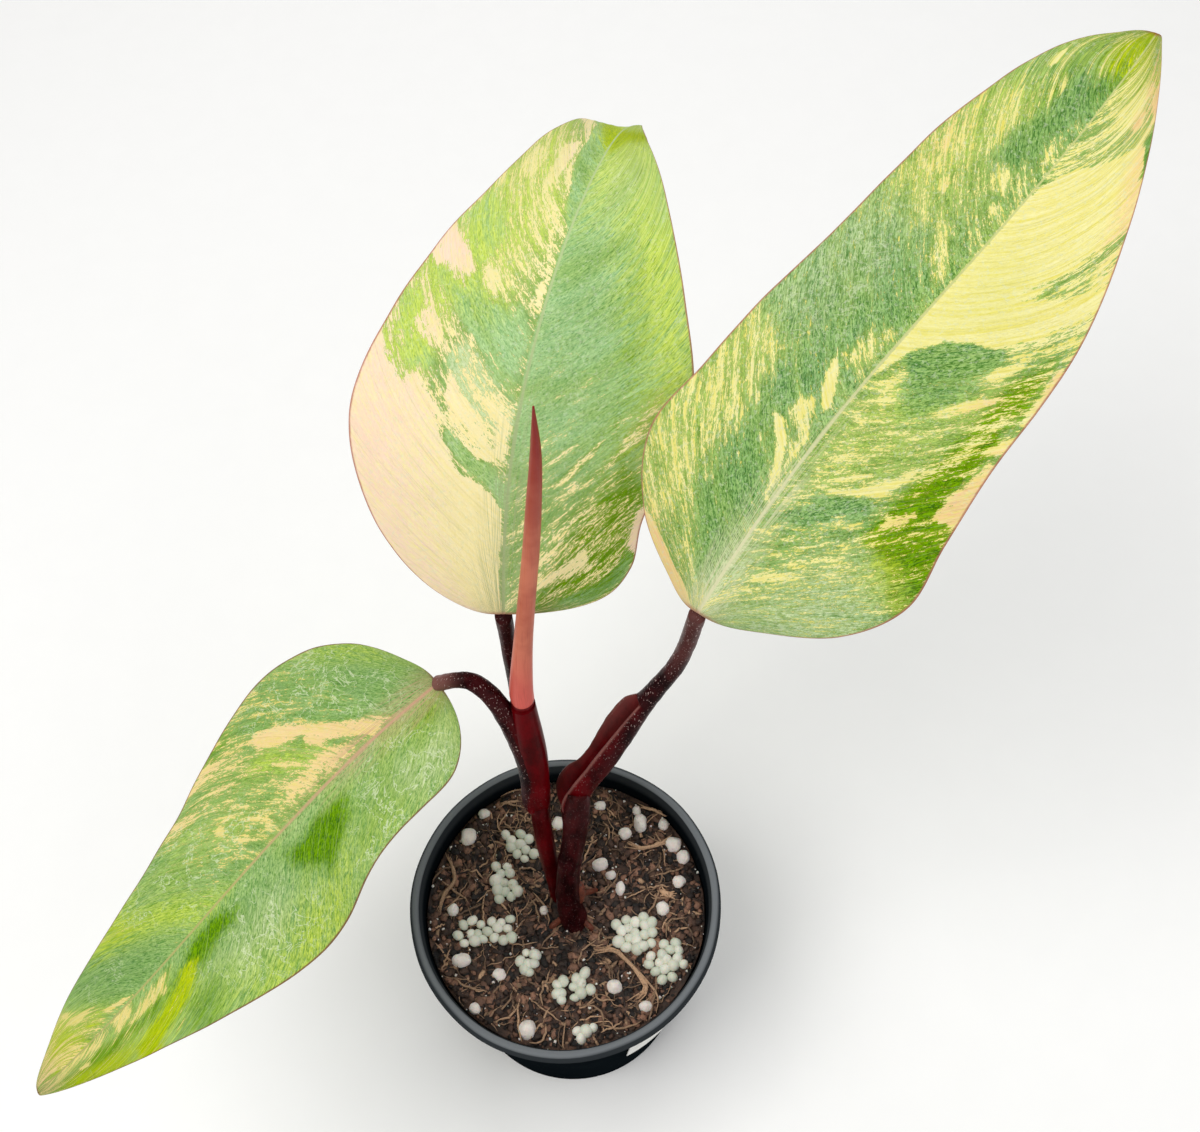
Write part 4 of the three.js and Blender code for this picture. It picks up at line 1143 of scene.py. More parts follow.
# The lists run through the stalk's length, from its foot to where the channel has closed.
channel = {
    "facing": math.radians(268),  # where the channel opens, as a turn from the across direction
    "half": math.radians(33),  # from its middle to either wing's margin
    "end": 0.62,
    "rings": 220,
    "spokes": 120,
    "depth": [0.0, 0.5, 0.8, 0.82, 0.82, 0.8, 0.78, 0.78, 0.8, 0.82, 0.84, 0.84, 0.84, 0.84],
    "leftWing": [0.0, 0.1, 0.25, 0.42, 0.5, 0.4, 0.1, 0.04, 0.12, 0.26, 0.42, 0.56, 0.62, 0.6],
    "rightWing": [0.0, 0.04, 0.06, 0.14, 0.06, 0.14, 0.06, 0.1, 0.1, 0.12, 0.14, 0.16, 0.16, 0.14],
    "slim": [0.0, 0.0, 0.0, 0.0, 0.04, 0.12, 0.24, 0.24, 0.14, 0.06, 0.0, 0.0, 0.0, 0.0],
}


def makeRightStalk(finish):
    # round stalk whose lower part is an open channel: the radius dips to the channel's floor,
    # rises steeply to a wing on each side of it, and is slimmer behind the left wing's waist
    shares, middle, radius, across, up = alongPath(stalkPaths["petiole_right"], channel["rings"])
    turn = evenTurns(channel["spokes"])
    signed = signedTurn(turn, channel["facing"])
    local = np.clip(shares / channel["end"], 0, 1)
    depth, left, right, slim = (np.clip(valueThrough(channel[key], local), 0, 1)[:, None]
                                for key in ("depth", "leftWing", "rightWing", "slim"))
    mouth = np.sqrt(smoothShare(1, 0.93, local))[:, None]
    depth, left, right = depth * mouth, left * mouth, right * mouth
    half = channel["half"]
    dip = smoothShare(half, half - 0.15, np.abs(signed))
    shape = (1 - slim * bump(signed, -1.5, 0.75)) * (1 - depth * dip)
    shape = shape + left * bump(signed, -half - 0.05, 0.16) + right * bump(signed, half + 0.08, 0.16)
    reach = radius[:, None] * shape * 0.97
    reach = reach + 0.09 * dented(middle, reach, turn, across, up, 7, 6)
    points, quads, fans = tubeMesh(middle, reach, across, up)
    isOpen = smoothShare(0.02, 0.3, depth)
    inner = smoothShare(half + 0.06, half - 0.04, np.abs(signed)) * isOpen
    margin = bump(np.abs(signed), half + 0.08, 0.085) * isOpen
    low = smoothShare(0.4, 0.15, shares)[:, None]
    nearWing = smoothShare(1.5, 0.6, signed) * smoothShare(0.5, 0.6, signed) * isOpen
    red = np.clip(0.9 * inner + 0.6 * nearWing + 0.7 * low, 0, 1)
    upper = smoothShare(0.72, 0.9, shares)[:, None]
    pale = 0.75 * margin + 0.2 * upper + 0.12 * smoothShare(0.97, 1.0, shares)[:, None]
    pale = pale + 0.12 * inner * smoothShare(0.36, 0.5, shares)[:, None]
    pale = pale + 0.8 * left * low * smoothShare(-0.7, -1.0, signed)
    speckled = (1 - inner) * (0.25 + 0.75 * smoothShare(0.35, 0.6, shares)[:, None])
    tones = np.stack(np.broadcast_arrays(red, speckled, np.clip(pale, 0, 1)), -1)
    newPiece("petiole_right_skin", points, quads, fans, fields={"redSpeckledPale": withPoles(tones)},
             material=finish, nodes=["petiole_right"], slot="petiole")


newLeaf = {
    "rings": 200,
    "spokes": 64,
    "hem": 0.2,  # share of its length where it leaves the sheath
    "skin": [(184, 96, 74), (204, 118, 92)],
    "foot": (216, 96, 86),
    "tip": (136, 16, 24),
    "lines": (160, 66, 56),
    "seam": (108, 8, 18),
    "inSheath": [(76, 0, 3), (120, 2, 12)],
}


def newLeafFinish():
    # salmon, pinker at the foot and dark red at the tip, with fine lines along it and a dark seam
    roll = Finish("rolled_leaf_skin", **{"Specular IOR Level": 0.14})
    height, seam, _ = roll.parts(roll.field("rollPlace").outputs["Vector"])
    lines = roll.noise(roll.place((220, 9, 1), "surfaceMap"), 1.0, 3, 0.6, 0.3)
    blotch = roll.noise(roll.place(), 90, 3)
    skin = roll.shade(roll.share(blotch, 0.35, 0.65), newLeaf["skin"])
    skin = roll.tint(skin, roll.share(height, 0.42, 0.2), newLeaf["foot"])
    skin = roll.tint(skin, roll.times(roll.share(height, 0.55, 0.95), 0.9), newLeaf["tip"])
    skin = roll.tint(skin, roll.between(roll.share(lines, 0.5, 0.7), 0, 0.3), newLeaf["lines"])
    skin = roll.tint(skin, roll.times(seam, 0.85), newLeaf["seam"])
    hem = newLeaf["hem"]
    hidden = roll.share(height, hem + 0.003, hem - 0.001)
    roll.colour(roll.mix(hidden, skin, roll.shade(blotch, newLeaf["inSheath"])))
    roll.rough(roll.between(blotch, 0.3, 0.45))
    roll.relief(lines, 0.00015, 0.7)
    return roll.material


def makeNewLeaf():
    # a roll of one blade: the radius grows by a step once round, and the step winds up the roll
    shares, middle, radius, across, up = alongPath(stalkPaths["new_leaf"], newLeaf["rings"])
    turn = evenTurns(newLeaf["spokes"])
    seamTurn = 2.6 + 1.7 * shares[:, None]
    past = ((turn[None, :] - seamTurn) / (2 * np.pi)) % 1
    step = 0.13 * smoothShare(0.0, 0.2, shares) * smoothShare(1.0, 0.9, shares)
    lifted = 0.03 * bump(turn, 4.5, 0.7) * smoothShare(0.35, 0.25, shares)[:, None]
    height = shares[:, None] - lifted
    inSheath = smoothShare(newLeaf["hem"] + 0.005, newLeaf["hem"] - 0.002, height)
    reach = radius[:, None] * (1 - step[:, None] * (1 - past)) * (0.99 - 0.07 * inSheath)
    points, quads, fans = tubeMesh(middle, reach, across, up)
    seam = bump(past, 0.985, 0.02) * smoothShare(0.5, 0.68, shares)[:, None]
    places = np.stack(np.broadcast_arrays(height, seam, past), -1)
    along = shares[:, None]
    uv = np.stack(np.broadcast_arrays(past * 0.2 + along * 0.12, along * 1.5), -1)
    newPiece("new_leaf_roll", points, quads, fans, fields={"rollPlace": withPoles(places)},
             uv=withPoles(uv), material=newLeafFinish(), nodes=["new_leaf_rolled"], slot="new_leaf")


stalkSkin = stalkFinish()
makeLeftStalk(stalkSkin)
makeRightStalk(stalkSkin)
for name in plainStalks:
    makePlainStalk(name, stalkSkin)
makeNewLeaf()
print("made the stalks, stems and new leaf")


# Pot

potShape = {
    "lower": [[19, 0], [20, 0.9]],
    "outer": [[34.8, 0.9], [35.8, 0], [36.8, 0], [37.9, 0], [38.5, 0.3], [38.8, 0.9], [41.35, 20.05],
              [43.9, 39.2], [46.5, 58.7], [47.8, 68.5], [49, 77.5], [49.9, 77.7], [50.9, 78.2],
              [51.6, 79.1], [51.95, 80.6], [51.8, 82.3], [51.1, 83.5], [49.9, 83.95], [48.8, 83.6],
              [48.2, 82.4], [47.7, 77], [44.8, 54.9], [41.4, 31.0], [37.6, 3.2], [36.3, 1.8], [34.8, 1.8]],
    "upper": [[20, 1.8], [10, 1.8]],
    "holes": 6,
    "holeRing": 28,
    "holeRadius": 3.8,
    "base": (0.9, 1.8),  # the floor's underside and top
    "looseness": 0.5,
    "stray": 0.0045,  # how far a loose mouth strays from a true circle, as a share of its size
    "lap": 96,  # points round the outline of a sixth of the base, and round its hole
    "side": 24,  # points along the part of that outline that the wall shares
    "sharpest": 35,  # degrees between faces past which an edge stays sharp
    "joint": 0.00002,  # metres within which two points are one
}

potInk = {  # screen values
    "body": [(5, 9, 12), (20, 26, 30)],
    "lip": (54, 58, 61),
    "paintedCrestHighlight": (124, 128, 132),
    "scuff": (120, 122, 124),
    "label": [(232, 231, 226), (206, 205, 200)],
}


def potFinish():
    # near black, greyer on the lip and with a painted highlight along its crest, with faint upright scuffs
    pot = Finish("pot_plastic_skin", **{"Specular IOR Level": 0.0})
    scuffs = pot.noise(pot.place((1, 1, 0.25)), 420, 4, 0.7, 0.6)
    height = pot.parts(pot.place())[2]
    body = pot.shade(pot.noise(pot.place(), 35, 4), potInk["body"])
    body = pot.tint(body, pot.times(pot.share(height, 0.0775, 0.0815), 0.85), potInk["lip"])
    # painted highlight: a pale line along the top of the lip's roll, by height alone
    body = pot.tint(body, pot.times(pot.share(height, 0.0832, 0.0837), 0.8), potInk["paintedCrestHighlight"])
    pot.colour(pot.tint(body, pot.between(pot.share(scuffs, 0.56, 0.75), 0, 0.025), potInk["scuff"]))
    pot.rough(pot.between(scuffs, 0.36, 0.62))
    pot.relief(pot.noise(pot.place(), 2600, 2), 0.00006, 0.6)
    return pot.material


def turned(profile, turn):
    # each [radius, height] of the profile carried round +Z; turn 0 is the front
    profile = np.asarray(profile, float)
    radius, height = profile[:, :1], profile[:, 1:]
    return np.stack(np.broadcast_arrays(radius * np.sin(turn), -radius * np.cos(turn), height), -1)


def weld(piece):
    # joins points that meet, and keeps an edge sharp where its faces turn far
    shell = bmesh.new()
    shell.from_mesh(piece.data)
    bmesh.ops.remove_doubles(shell, verts=shell.verts, dist=potShape["joint"])
    shell.to_mesh(piece.data)
    shell.free()
    piece.data.set_sharp_from_angle(angle=math.radians(potShape["sharpest"]))


def makePot():
    # a profile turned about +Z; each sixth of the base is a ring of quads from its outline to its hole,
    # through the floor, and back from the hole to the outline on the inside
    lap, side = potShape["lap"], potShape["side"]
    sector = 2 * np.pi / potShape["holes"]
    centres = (np.arange(potShape["holes"]) + 0.5) * sector
    even = 1 / np.tan(np.radians(135) - np.arange(side) * 2 * np.pi / lap)
    turn = (centres[:, None] + even[None, :] * sector / 2).ravel()
    rings = turned(potShape["outer"], turn)
    slack = potShape["stray"] * (potShape["looseness"] * smoothShare(55, 82, rings[..., 2:]))
    wave = np.cos(3 * turn + 0.6) + 0.6 * np.cos(5 * turn + 2) + 0.4 * np.cos(11 * turn) - 2
    rings = rings * (1 + slack * wave[None, :, None] * np.array([1, 1, 0.3]))
    lower, upper = turned(potShape["lower"], turn), turned(potShape["upper"], turn)
    parts = [lower, rings, upper]
    inner, outer = potShape["lower"][-1][0], potShape["outer"][0][0]
    around = evenTurns(lap)
    under, above = potShape["base"]
    square = np.stack([np.cos(around), np.sin(around)], 1)
    square = square / np.abs(square).max(1, keepdims=True)
    for centre in centres:
        angle = centre + square[:, 0] * sector / 2
        reach = (inner + outer) / 2 + square[:, 1] * (outer - inner) / 2
        edge = np.stack([reach * np.sin(angle), -reach * np.cos(angle)], 1)
        across = np.array([math.cos(centre), math.sin(centre)])
        outward = np.array([math.sin(centre), -math.cos(centre)])
        hole = np.cos(around)[:, None] * across + np.sin(around)[:, None] * outward
        hole = potShape["holeRing"] * outward + potShape["holeRadius"] * hole
        flats = [edge, (edge + hole) / 2, hole, hole, (edge + hole) / 2, edge]
        levels = [under] * 3 + [above] * 3
        parts.append(np.stack([np.column_stack([flat, np.full(lap, z)]) for flat, z in zip(flats, levels)]))
    starts = np.cumsum([0] + [part.shape[0] * part.shape[1] for part in parts])
    quads = [gridQuads(*part.shape[:2], True, start) for part, start in zip(parts, starts)]
    first, wide = np.arange(len(turn)), len(turn)
    following = (first + 1) % wide
    inside = starts[2] + wide
    fans = [np.stack([np.full(wide, starts[-1]), following, first], 1),
            np.stack([np.full(wide, starts[-1] + 1), first + inside, following + inside], 1)]
    points = [part.reshape(-1, 3) for part in parts] + [np.array([[0, 0, 0], [0, 0, above]])]
    piece = newPiece("nursery_pot", np.concatenate(points), np.concatenate(quads), np.concatenate(fans),
                     material=potFinish(), nodes=["pot"], slot="pot_plastic")
    weld(piece)


def labelFinish():
    label = Finish("blank_label_film", Roughness=0.42)
    wear = label.noise(label.place(), 300, 4, 0.65)
    label.colour(label.shade(label.share(wear, 0.45, 0.75), potInk["label"]))
    label.relief(wear, 0.00008, 0.5)
    return label.material


makePot()
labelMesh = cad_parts["blank_label"].data
labelMesh.materials.clear()
labelMesh.materials.append(labelFinish())
print("made the pot and its blank label")


# Soil and what lies on it

soilBed = {
    "radius": 46.6,
    "wall": 46.9,  # how far out loose bits reach
    "bare": 6.0,  # how near the stems they come
    "level": 73.5,
    "floor": 3.4,
    "floorRadius": 37.0,
    "rings": 110,
    "skirtRings": 8,
    "spokes": 260,
}

earthInk = {  # screen values from dark to light
    "potting_mix": [(14, 7, 5), (150, 108, 86)],
    "bark_fibre": [(40, 24, 18), (214, 172, 136)],
    "root_skin": [(36, 12, 8), (116, 52, 28)],
    "paintedHollowShade": (14, 8, 6),
    "crumbs": (168, 138, 120),
}

litter = {  # loose bits: how many, sizes, stretch and tones from dark to light
    "soil_crumbs": {"count": 3600, "size": (0.35, 1.5), "stretch": (1.7, 1, 0.7), "seed": 21,
                    "tones": (0, 1.1)},
    "bark_shards": {"count": 700, "size": (0.4, 1.0), "stretch": (4.4, 1.2, 0.5), "seed": 22,
                    "tones": (0, 0.9)},
    "perlite_fines": {"count": 520, "size": (0.16, 0.62), "stretch": (1, 1, 1), "seed": 33,
                      "tones": (0, 1), "rings": 4, "spokes": 7},
}

fibres = {
    "count": 400,
    "length": (4, 14),
    "thickness": (0.12, 0.42),
    "seed": 23,
    "tones": (-0.1, 0.85),
    "between": (7.0, 43.0),  # the nearest and farthest middle, from the pot's axis
    "farthest": 46.2,
    "places": 8,
}


def soilHeight(x, y):
    # slow humps, smaller humps and a slight rise to the pot's wall
    slow = 1.1 * np.sin(0.09 * x + 0.6) * np.cos(0.08 * y - 0.4)
    small = 0.5 * np.sin(0.31 * x + 0.23 * y) * np.cos(0.27 * y - 0.2 * x)
    return soilBed["level"] + slow + small + 0.0009 * (x * x + y * y) - 0.6


def earthFinish(name, rough, pitch=900):
    # earthy things: dark to light by each bit's own tone, with a fine mottle whose low, sunken parts are
    # darkened as painted shade
    earth = Finish(name)
    mottle = earth.noise(earth.place(), pitch, 4, 0.7)
    shade = earth.shade(earth.field("tone").outputs["Fac"], earthInk[name])
    # painted shade: the mottle's low parts, which the bump also sinks, darkened
    shade = earth.tint(shade, earth.between(earth.share(mottle, 0.5, 0.3), 0, 0.75), earthInk["paintedHollowShade"])
    shade = earth.tint(shade, earth.between(earth.share(mottle, 0.62, 0.74), 0, 0.5), earthInk["crumbs"])
    earth.colour(shade)
    earth.rough(earth.between(mottle, rough - 0.4, rough + 0.1))
    earth.relief(mottle, 0.0005, 0.9)
    return earth.material


def makeSoil(finish):
    # a disc of rings whose height is the soil's height and small lumps, then a skirt down to a flat floor
    rings, spokes, edge = soilBed["rings"], soilBed["spokes"], soilBed["radius"]
    turn = evenTurns(spokes)
    radius = edge * (np.arange(1, rings + 1) / rings)[:, None]
    x, y = radius * np.cos(turn), radius * np.sin(turn)
    flat = np.stack([x, y], -1)
    lumps = 0.55 * rumple(flat, 5.0, 11, 4) + 0.35 * np.abs(rumple(flat, 2.2, 12, 2))
    top = np.stack([x, y, soilHeight(x, y) + lumps * smoothShare(edge, 44, radius) - 0.3], -1)
    depth = np.linspace(0, 1, soilBed["skirtRings"] + 1)[1:, None]
    reach = edge + (soilBed["floorRadius"] - edge) * depth
    brim = top[-1, :, 2][None]
    low = brim + (soilBed["floor"] - brim) * depth
    skirt = np.stack([reach * np.cos(turn), reach * np.sin(turn), low], -1)
    poles = np.array([[0, 0, soilHeight(0, 0)], [0, 0, soilBed["floor"]]])
    points = np.concatenate([top.reshape(-1, 3), skirt.reshape(-1, 3), poles])
    total = len(top) + len(skirt)
    newPiece("potting_soil", points, gridQuads(total, spokes, True)[:, ::-1],
             poleFans(total, spokes)[:, [0, 2, 1]], fields={"tone": 0.2 + 0.3 * rumple(points, 7, 14, 4)},
             material=finish, nodes=["soil"], slot="soil")


def ballMesh(rings, spokes):
    # a unit ball: rings of latitude between two poles, as points, quads and triangles
    tilt = (np.arange(rings) + 1) / (rings + 1) * np.pi
    turn = evenTurns(spokes)
    x, y = np.sin(tilt)[:, None] * np.cos(turn), np.sin(tilt)[:, None] * np.sin(turn)
    z = np.broadcast_to(np.cos(tilt)[:, None], x.shape)
    points = np.concatenate([np.stack([x, y, z], -1).reshape(-1, 3), [[0, 0, 1], [0, 0, -1]]])
    return points, gridQuads(rings, spokes, True)[:, ::-1], poleFans(rings, spokes)[:, [0, 2, 1]]


def randomTurns(source, count):
    # even random rotations, from unit quaternions
    w, x, y, z = unit(source.normal(size=(count, 4))).T
    rows = [1 - 2 * (y * y + z * z), 2 * (x * y - z * w), 2 * (x * z + y * w),
            2 * (x * y + z * w), 1 - 2 * (x * x + z * z), 2 * (y * z - x * w),
            2 * (x * z - y * w), 2 * (y * z + x * w), 1 - 2 * (x * x + y * y)]
    return np.stack(rows, -1).reshape(-1, 3, 3)


def onSoil(source, count, inner, outer):
    # random places on the bed, evenly over its area
    radius = np.sqrt(source.uniform(inner**2, outer**2, count))
    turn = source.uniform(0, 2 * np.pi, count)
    x, y = radius * np.cos(turn), radius * np.sin(turn)
    return np.stack([x, y, soilHeight(x, y)], -1)


def scatterBits(name, finish, count, size, stretch, seed, tones, rings=3, spokes=6):
    # small balls, stretched, dented and turned at random, lying on the soil; long ones lie flatter
    source = np.random.default_rng(seed)
    ball, quads, fans = ballMesh(rings, spokes)
    dents = source.uniform(0.62, 1.32, (count, len(ball), 1))
    sizes = size[0] * (size[1] / size[0]) ** source.uniform(0, 1, (count, 1, 1))
    bits = ball * dents * sizes * (1 + (np.array(stretch) - 1) * source.uniform(0.4, 1, (count, 1, 1)))
    spin = randomTurns(source, count)
    lying = np.eye(3)[None] * np.array([1, 1, 0.35 if max(stretch) > 1.5 else 1])[:, None]
    bits = np.einsum("nij,npj->npi", lying @ spin, bits)
    outer = soilBed["wall"] - sizes[:, 0, 0] * max(stretch) * 0.9
    places = onSoil(source, count, soilBed["bare"], outer)
    places[:, 2] += sizes[:, 0, 0] * 0.4
    tone = tones[0] + (tones[1] - tones[0]) * source.uniform(0, 1, count) ** 2.6
    return newCopies(name, bits + places[:, None], quads, fans, tone, finish)


def strands(paths, radius, spokes=5):
    # thin tubes about many paths at once; paths is count, places, 3 and radius is count, places
    direction = unit(np.gradient(paths, axis=1))
    across = unit(np.cross(direction, [0.1, 0.2, 1.0]))
    up = np.cross(direction, across)
    turn = evenTurns(spokes)
    spoke = np.cos(turn)[:, None] * across[:, :, None] + np.sin(turn)[:, None] * up[:, :, None]
    rings = paths[:, :, None] + radius[:, :, None, None] * spoke
    count, places = paths.shape[:2]
    points = np.concatenate([rings.reshape(count, -1, 3), paths[:, :1], paths[:, -1:]], 1)
    return points, gridQuads(places, spokes, True), poleFans(places, spokes)


def scatterFibres(name, finish):
    # bent fibres lying on the soil: a straight run, a sideways bend and a slight hump
    count, places = fibres["count"], fibres["places"]
    source = np.random.default_rng(fibres["seed"])
    start = onSoil(source, count, *fibres["between"])[:, None]
    heading = source.uniform(0, 2 * np.pi, (count, 1))
    run = np.linspace(-0.5, 0.5, places)[None] * source.uniform(*fibres["length"], (count, 1))
    bend = source.normal(0, 0.9, (count, 1)) * np.cos(run / run[:, -1:] * 1.2) * run[:, -1:] * 0.5
    bend = bend + source.normal(0, 0.25, (count, places))
    x = start[..., 0] + run * np.cos(heading) - bend * np.sin(heading)
    y = start[..., 1] + run * np.sin(heading) + bend * np.cos(heading)
    held = np.minimum(1, fibres["farthest"] / np.hypot(x, y))
    x, y = x * held, y * held
    slope = source.normal(0, 0.1, (count, 1)) * run
    z = soilHeight(x, y) + 0.35 + np.abs(slope) + source.uniform(-0.2, 0.7, (count, 1))
    taper = 1 - 0.75 * np.abs(np.linspace(-1, 1, places)) ** 3
    radius = source.uniform(*fibres["thickness"], (count, 1)) * taper
    tone = source.uniform(*fibres["tones"], count)
    newCopies(name, *strands(np.stack([x, y, z], -1), radius), tone, finish)


# Each grain's x, y and radius.
perlite = [
    [-27.5, 35, 1.6], [-33, 27, 2.3], [-7.5, 0.5, 1.5], [-38, 1.5, 1.7], [13, 37, 1.6], [25.5, 34, 1.5],
    [26.5, 29.5, 2.4], [21, 26, 1.7], [-2, 31, 1.7], [34.5, 28.5, 1.6], [37.5, 21, 2.0], [40.5, 16.5, 2.1],
    [38.5, 8, 1.6], [12, 15, 2.2], [15.5, 11, 1.6], [18.5, 6.5, 1.6], [32.5, -1, 2.1], [-35, -16, 2.4],
    [-22.5, -21, 1.6], [-30.5, -32, 1.5], [-13.5, -39.5, 2.1], [15, -26.5, 2.0], [25, -33.5, 1.6],
]

# Each clump's x, y, number of beads, how much longer than wide it is, and its turn.
prillClumps = [
    [-21, 11, 12, 2.4, 1.9], [-15.5, 24, 10, 1.6, 2.5], [-26.5, -6, 18, 1.8, 0.1],
    [-13, -17.5, 7, 1.3, 1.8], [1.5, -26, 12, 1.3, 0.4], [23, -9, 18, 1.5, 0.5],
    [33, -19, 16, 1.3, 1.2], [5.5, -40, 4, 2.2, 0.1],
]

grain = {
    "stretch": (0.98, 1.55),
    "flatness": 0.85,
    "sunk": 0.35,  # how far above the soil its middle lies, in radii
    "lumps": 0.13,
    "ink": [(252, 246, 238), (240, 226, 218)],
    "pores": (160, 142, 130),
}

bead = {
    "pitch": 3.1,
    "jitter": 0.42,
    "size": (1.6, 2.1),
    "stretch": (0.82, 1.14),
    "raised": 0.75,
    "dents": 0.03,
    "ink": [(202, 206, 188), (232, 229, 216)],
    "stain": (176, 176, 150),
}


def grainFinish():
    # off-white, brown in its pores
    skin = Finish("perlite_grain", **{"Subsurface Weight": 0.15, "Subsurface Scale": 0.001})
    pores = skin.noise(skin.place(), 1300, 4, 0.75)
    shade = skin.shade(skin.noise(skin.place(), 160, 2), grain["ink"])
    skin.colour(skin.tint(shade, skin.share(pores, 0.42, 0.25), grain["pores"]))
    skin.rough(skin.between(pores, 0.95, 0.7))
    skin.relief(pores, 0.0005, 1.0)
    return skin.material


def prillFinish():
    # pale green to cream by each bead's own tone, slightly stained
    skin = Finish("fertiliser_shell", **{"Specular IOR Level": 0.5, "Subsurface Weight": 0.2,
                                         "Subsurface Scale": 0.001})
    mottle = skin.noise(skin.place(), 500, 3, 0.6)
    shade = skin.shade(skin.field("tone").outputs["Fac"], bead["ink"])
    skin.colour(skin.tint(shade, skin.share(mottle, 0.6, 0.8), bead["stain"]))
    skin.rough(skin.between(mottle, 0.32, 0.6))
    skin.relief(mottle, 0.0002, 0.6)
    return skin.material


def makeGrains():
    # balls stretched at random along each axis, with lumps
    finish = grainFinish()
    ball, quads, fans = ballMesh(14, 20)
    source = np.random.default_rng(31)
    for number, (x, y, radius) in enumerate(perlite, 1):
        centre = np.array([x, y, soilHeight(x, y) + grain["sunk"] * radius])
        shape = ball * source.uniform(*grain["stretch"], 3) * np.array([1, 1, grain["flatness"]]) * radius
        lumps = 1 + grain["lumps"] * rumple(shape + number * 7, radius * 1.6, 40 + number, 3)
        node = "perlite_%02d" % number
        newPiece(node + "_grain", centre + shape * lumps[:, None], quads, fans, material=finish,
                 nodes=[node], slot="perlite")
    fines = scatterBits("perlite_fines", finish, **litter["perlite_fines"])


def makePrills():
    # the beads nearest the clump's middle on a three-way grid, each a little off its place
    finish = prillFinish()
    ball, quads, fans = ballMesh(11, 16)
    column, row = (side.ravel() for side in np.meshgrid(np.arange(-6, 7), np.arange(-6, 7)))
    pitch, jitter = bead["pitch"], bead["jitter"]
    for number, (x, y, beads, stretch, turn) in enumerate(prillClumps, 1):
        source = np.random.default_rng(50 + number)
        along, side = pitch * (column + row / 2), pitch * row * math.sqrt(0.75)
        near = np.argsort(np.hypot(along / stretch, side) + 1e-3 * (row + 2 * column))[:beads]
        along, side = (line[near] + source.normal(0, jitter, beads) for line in (along, side))
        px = x + along * math.cos(turn) - side * math.sin(turn)
        py = y + along * math.sin(turn) + side * math.cos(turn)
        height = soilHeight(px, py) + bead["raised"] + source.uniform(-0.3, 0.5, beads)
        centres = np.stack([px, py, height], -1)
        size = source.uniform(*bead["size"], (beads, 1, 1))
        size = size * source.uniform(*bead["stretch"], (beads, 1, 3))
        shape = np.einsum("nij,npj->npi", randomTurns(source, beads), ball * size)
        dents = 1 + bead["dents"] * rumple(shape, 1.8, 60 + number, 2)
        copies = centres[:, None] + shape * dents[..., None]
        node = "prill_clump_%d" % number
        newCopies(node + "_beads", copies, quads, fans, source.uniform(0, 1, beads), finish,
                  nodes=[node], slot="fertiliser")


# Each lies on the soil through x, y, rise and radius; hairs are the loose strands it is frayed into.
barkPieces = {
    "bark_twig_forked": {"path": [[21.5, 22.5, 1.0, 0.6], [27, 20, 1.6, 0.9], [33, 21.5, 1.4, 0.8],
                                  [37, 24.5, 1.0, 0.4]], "hairs": 5, "fray": 1.3, "tone": 0.75},
    "bark_chip_right": {"path": [[31.5, 5.5, 0.8, 0.8], [34, 4, 1.3, 1.5], [36.5, 3, 0.8, 0.7]],
                        "hairs": 5, "fray": 1.0, "tone": 1.2},
    "husk_strand_front": {"path": [[10, -14, 0.8, 0.5], [17, -15.5, 1.3, 0.9], [25.5, -27, 1.4, 0.8],
                                   [22, -31, 0.9, 0.4]], "hairs": 12, "fray": 1.5, "tone": 0.8},
    "bark_twig_left": {"path": [[-40, 21, 0.9, 0.5], [-37.5, 12.5, 1.3, 0.9], [-41, 7, 1.2, 0.8],
                                [-43, 1, 0.9, 0.5]], "hairs": 4, "fray": 0.9, "tone": 0.5},
    "bark_curl_back": {"path": [[-22, 38.5, 0.8, 0.5], [-19.5, 38.5, 1.4, 0.9], [-15.5, 39.5, 0.9, 0.5]],
                       "hairs": 5, "fray": 1.2, "tone": 0.6},
    "bark_twig_rim": {"path": [[27, 35, 0.9, 0.5], [31, 33.5, 1.4, 0.8], [35.5, 31, 1.0, 0.5]],
                      "hairs": 4, "fray": 0.9, "tone": 0.7},
}


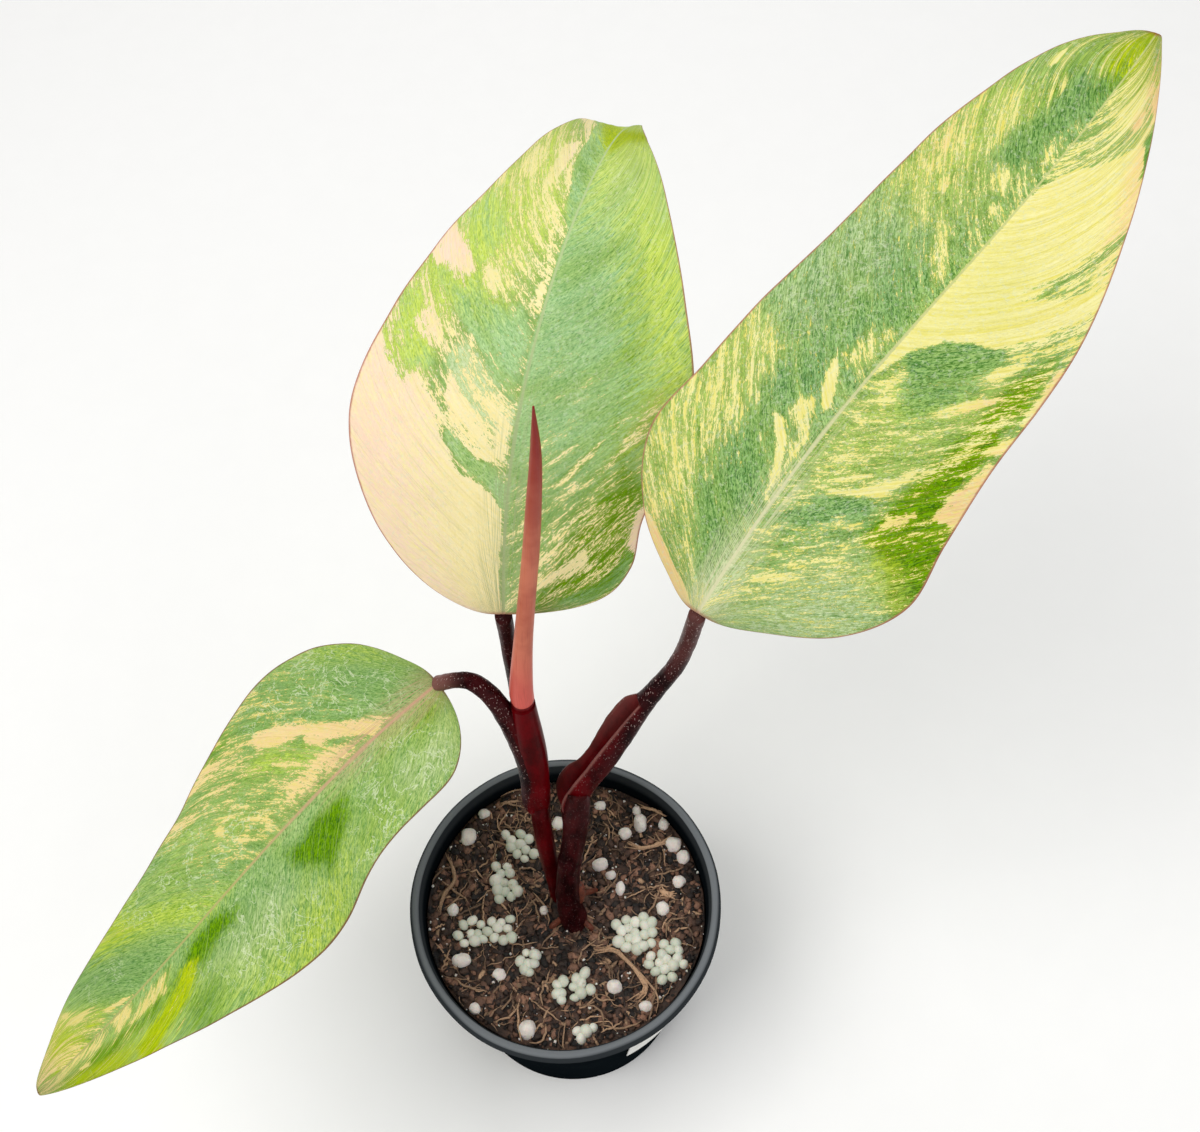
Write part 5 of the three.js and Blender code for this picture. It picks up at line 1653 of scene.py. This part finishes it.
def makeBark(finish):
    # a core strand and thinner ones that leave it sideways towards both ends
    places = 16
    for number, (node, bark) in enumerate(barkPieces.items()):
        source = np.random.default_rng(80 + number)
        line = curveThrough(bark["path"], np.linspace(0, 1, places))
        line[:, 2] += soilHeight(line[:, 0], line[:, 1])
        count = bark["hairs"] + 1
        ends = np.linspace(-1, 1, places)
        away = source.normal(0, bark["fray"], (count, 1, 3)) * np.array([1, 1, 0.25])
        away[0] = 0
        reach = np.abs(ends + source.normal(0, 0.3, (count, 1))) ** 1.6
        wiggle = 0.25 * source.normal(0, 0.4, (count, places, 3))
        paths = line[None, :, :3] + away * reach[..., None] + wiggle
        thin = np.concatenate([[0.72], source.uniform(0.2, 0.42, bark["hairs"])])[:, None]
        radius = line[None, :, 3] * thin * (1 - 0.6 * np.abs(ends) ** 4)
        tone = np.clip(bark["tone"] + source.normal(0, 0.12, count), 0, 1.3)
        newCopies(node + "_strands", *strands(paths, radius, 7), tone, finish, nodes=[node], slot="bark")


# Each place on a root is x, y, z and the radius there.
rootPaths = {
    "aerial_root_1": [[4.0, -4.0, 78, 1.1], [6.4, -5.2, 75.5, 1.0], [8.6, -6.8, 73.5, 0.9],
                      [11.0, -8.6, 68, 0.6]],
    "aerial_root_2": [[-0.5, -3.4, 78.5, 1.1], [-3.0, -4.4, 75.6, 1.1], [-5.0, -5.4, 74, 0.9],
                      [-7.4, -6.6, 68, 0.5]],
    "aerial_root_3": [[3.6, 1.6, 84, 1.0], [6.8, 3.6, 80, 1.0], [9.4, 5.6, 76, 0.9], [12.0, 8.4, 69, 0.5]],
    "old_stem_scar": [[4.2, 2.8, 94.5, 1.0], [5.4, 1.6, 92, 1.4], [5.6, 0.2, 88.5, 1.5],
                      [5.0, -0.9, 85, 1.0]],
}


def makeRoots(finish):
    # tubes with a blunt start; the scar stands for no node of the CAD model
    for node, path in rootPaths.items():
        shares, middle, radius, across, up = alongPath(path, 40)
        blunt = np.sqrt(np.clip(1 - (1 - np.minimum(shares / 0.16, 1)) ** 2, 0.04, 1))
        reach = (radius * blunt)[:, None] * (0.96 + 0.05 * np.cos(5 * evenTurns(20)))
        points, quads, fans = tubeMesh(middle, reach, across, up)
        fields = {"tone": 0.75 + 0.2 * rumple(points, 3, 9, 2)}
        stands = [node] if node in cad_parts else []
        newPiece(node + "_skin", points, quads, fans, fields=fields, material=finish, nodes=stands,
                 slot="root")


earth = earthFinish("potting_mix", 0.85)
fibre = earthFinish("bark_fibre", 0.8, 1400)
rootSkin = earthFinish("root_skin", 0.7)
makeSoil(earth)
scatterBits("soil_crumbs", earth, **litter["soil_crumbs"])
scatterBits("bark_shards", fibre, **litter["bark_shards"])
scatterFibres("soil_fibres", fibre)
makeGrains()
makePrills()
makeBark(fibre)
makeRoots(rootSkin)
print("made the soil, grains, beads, bark and roots")
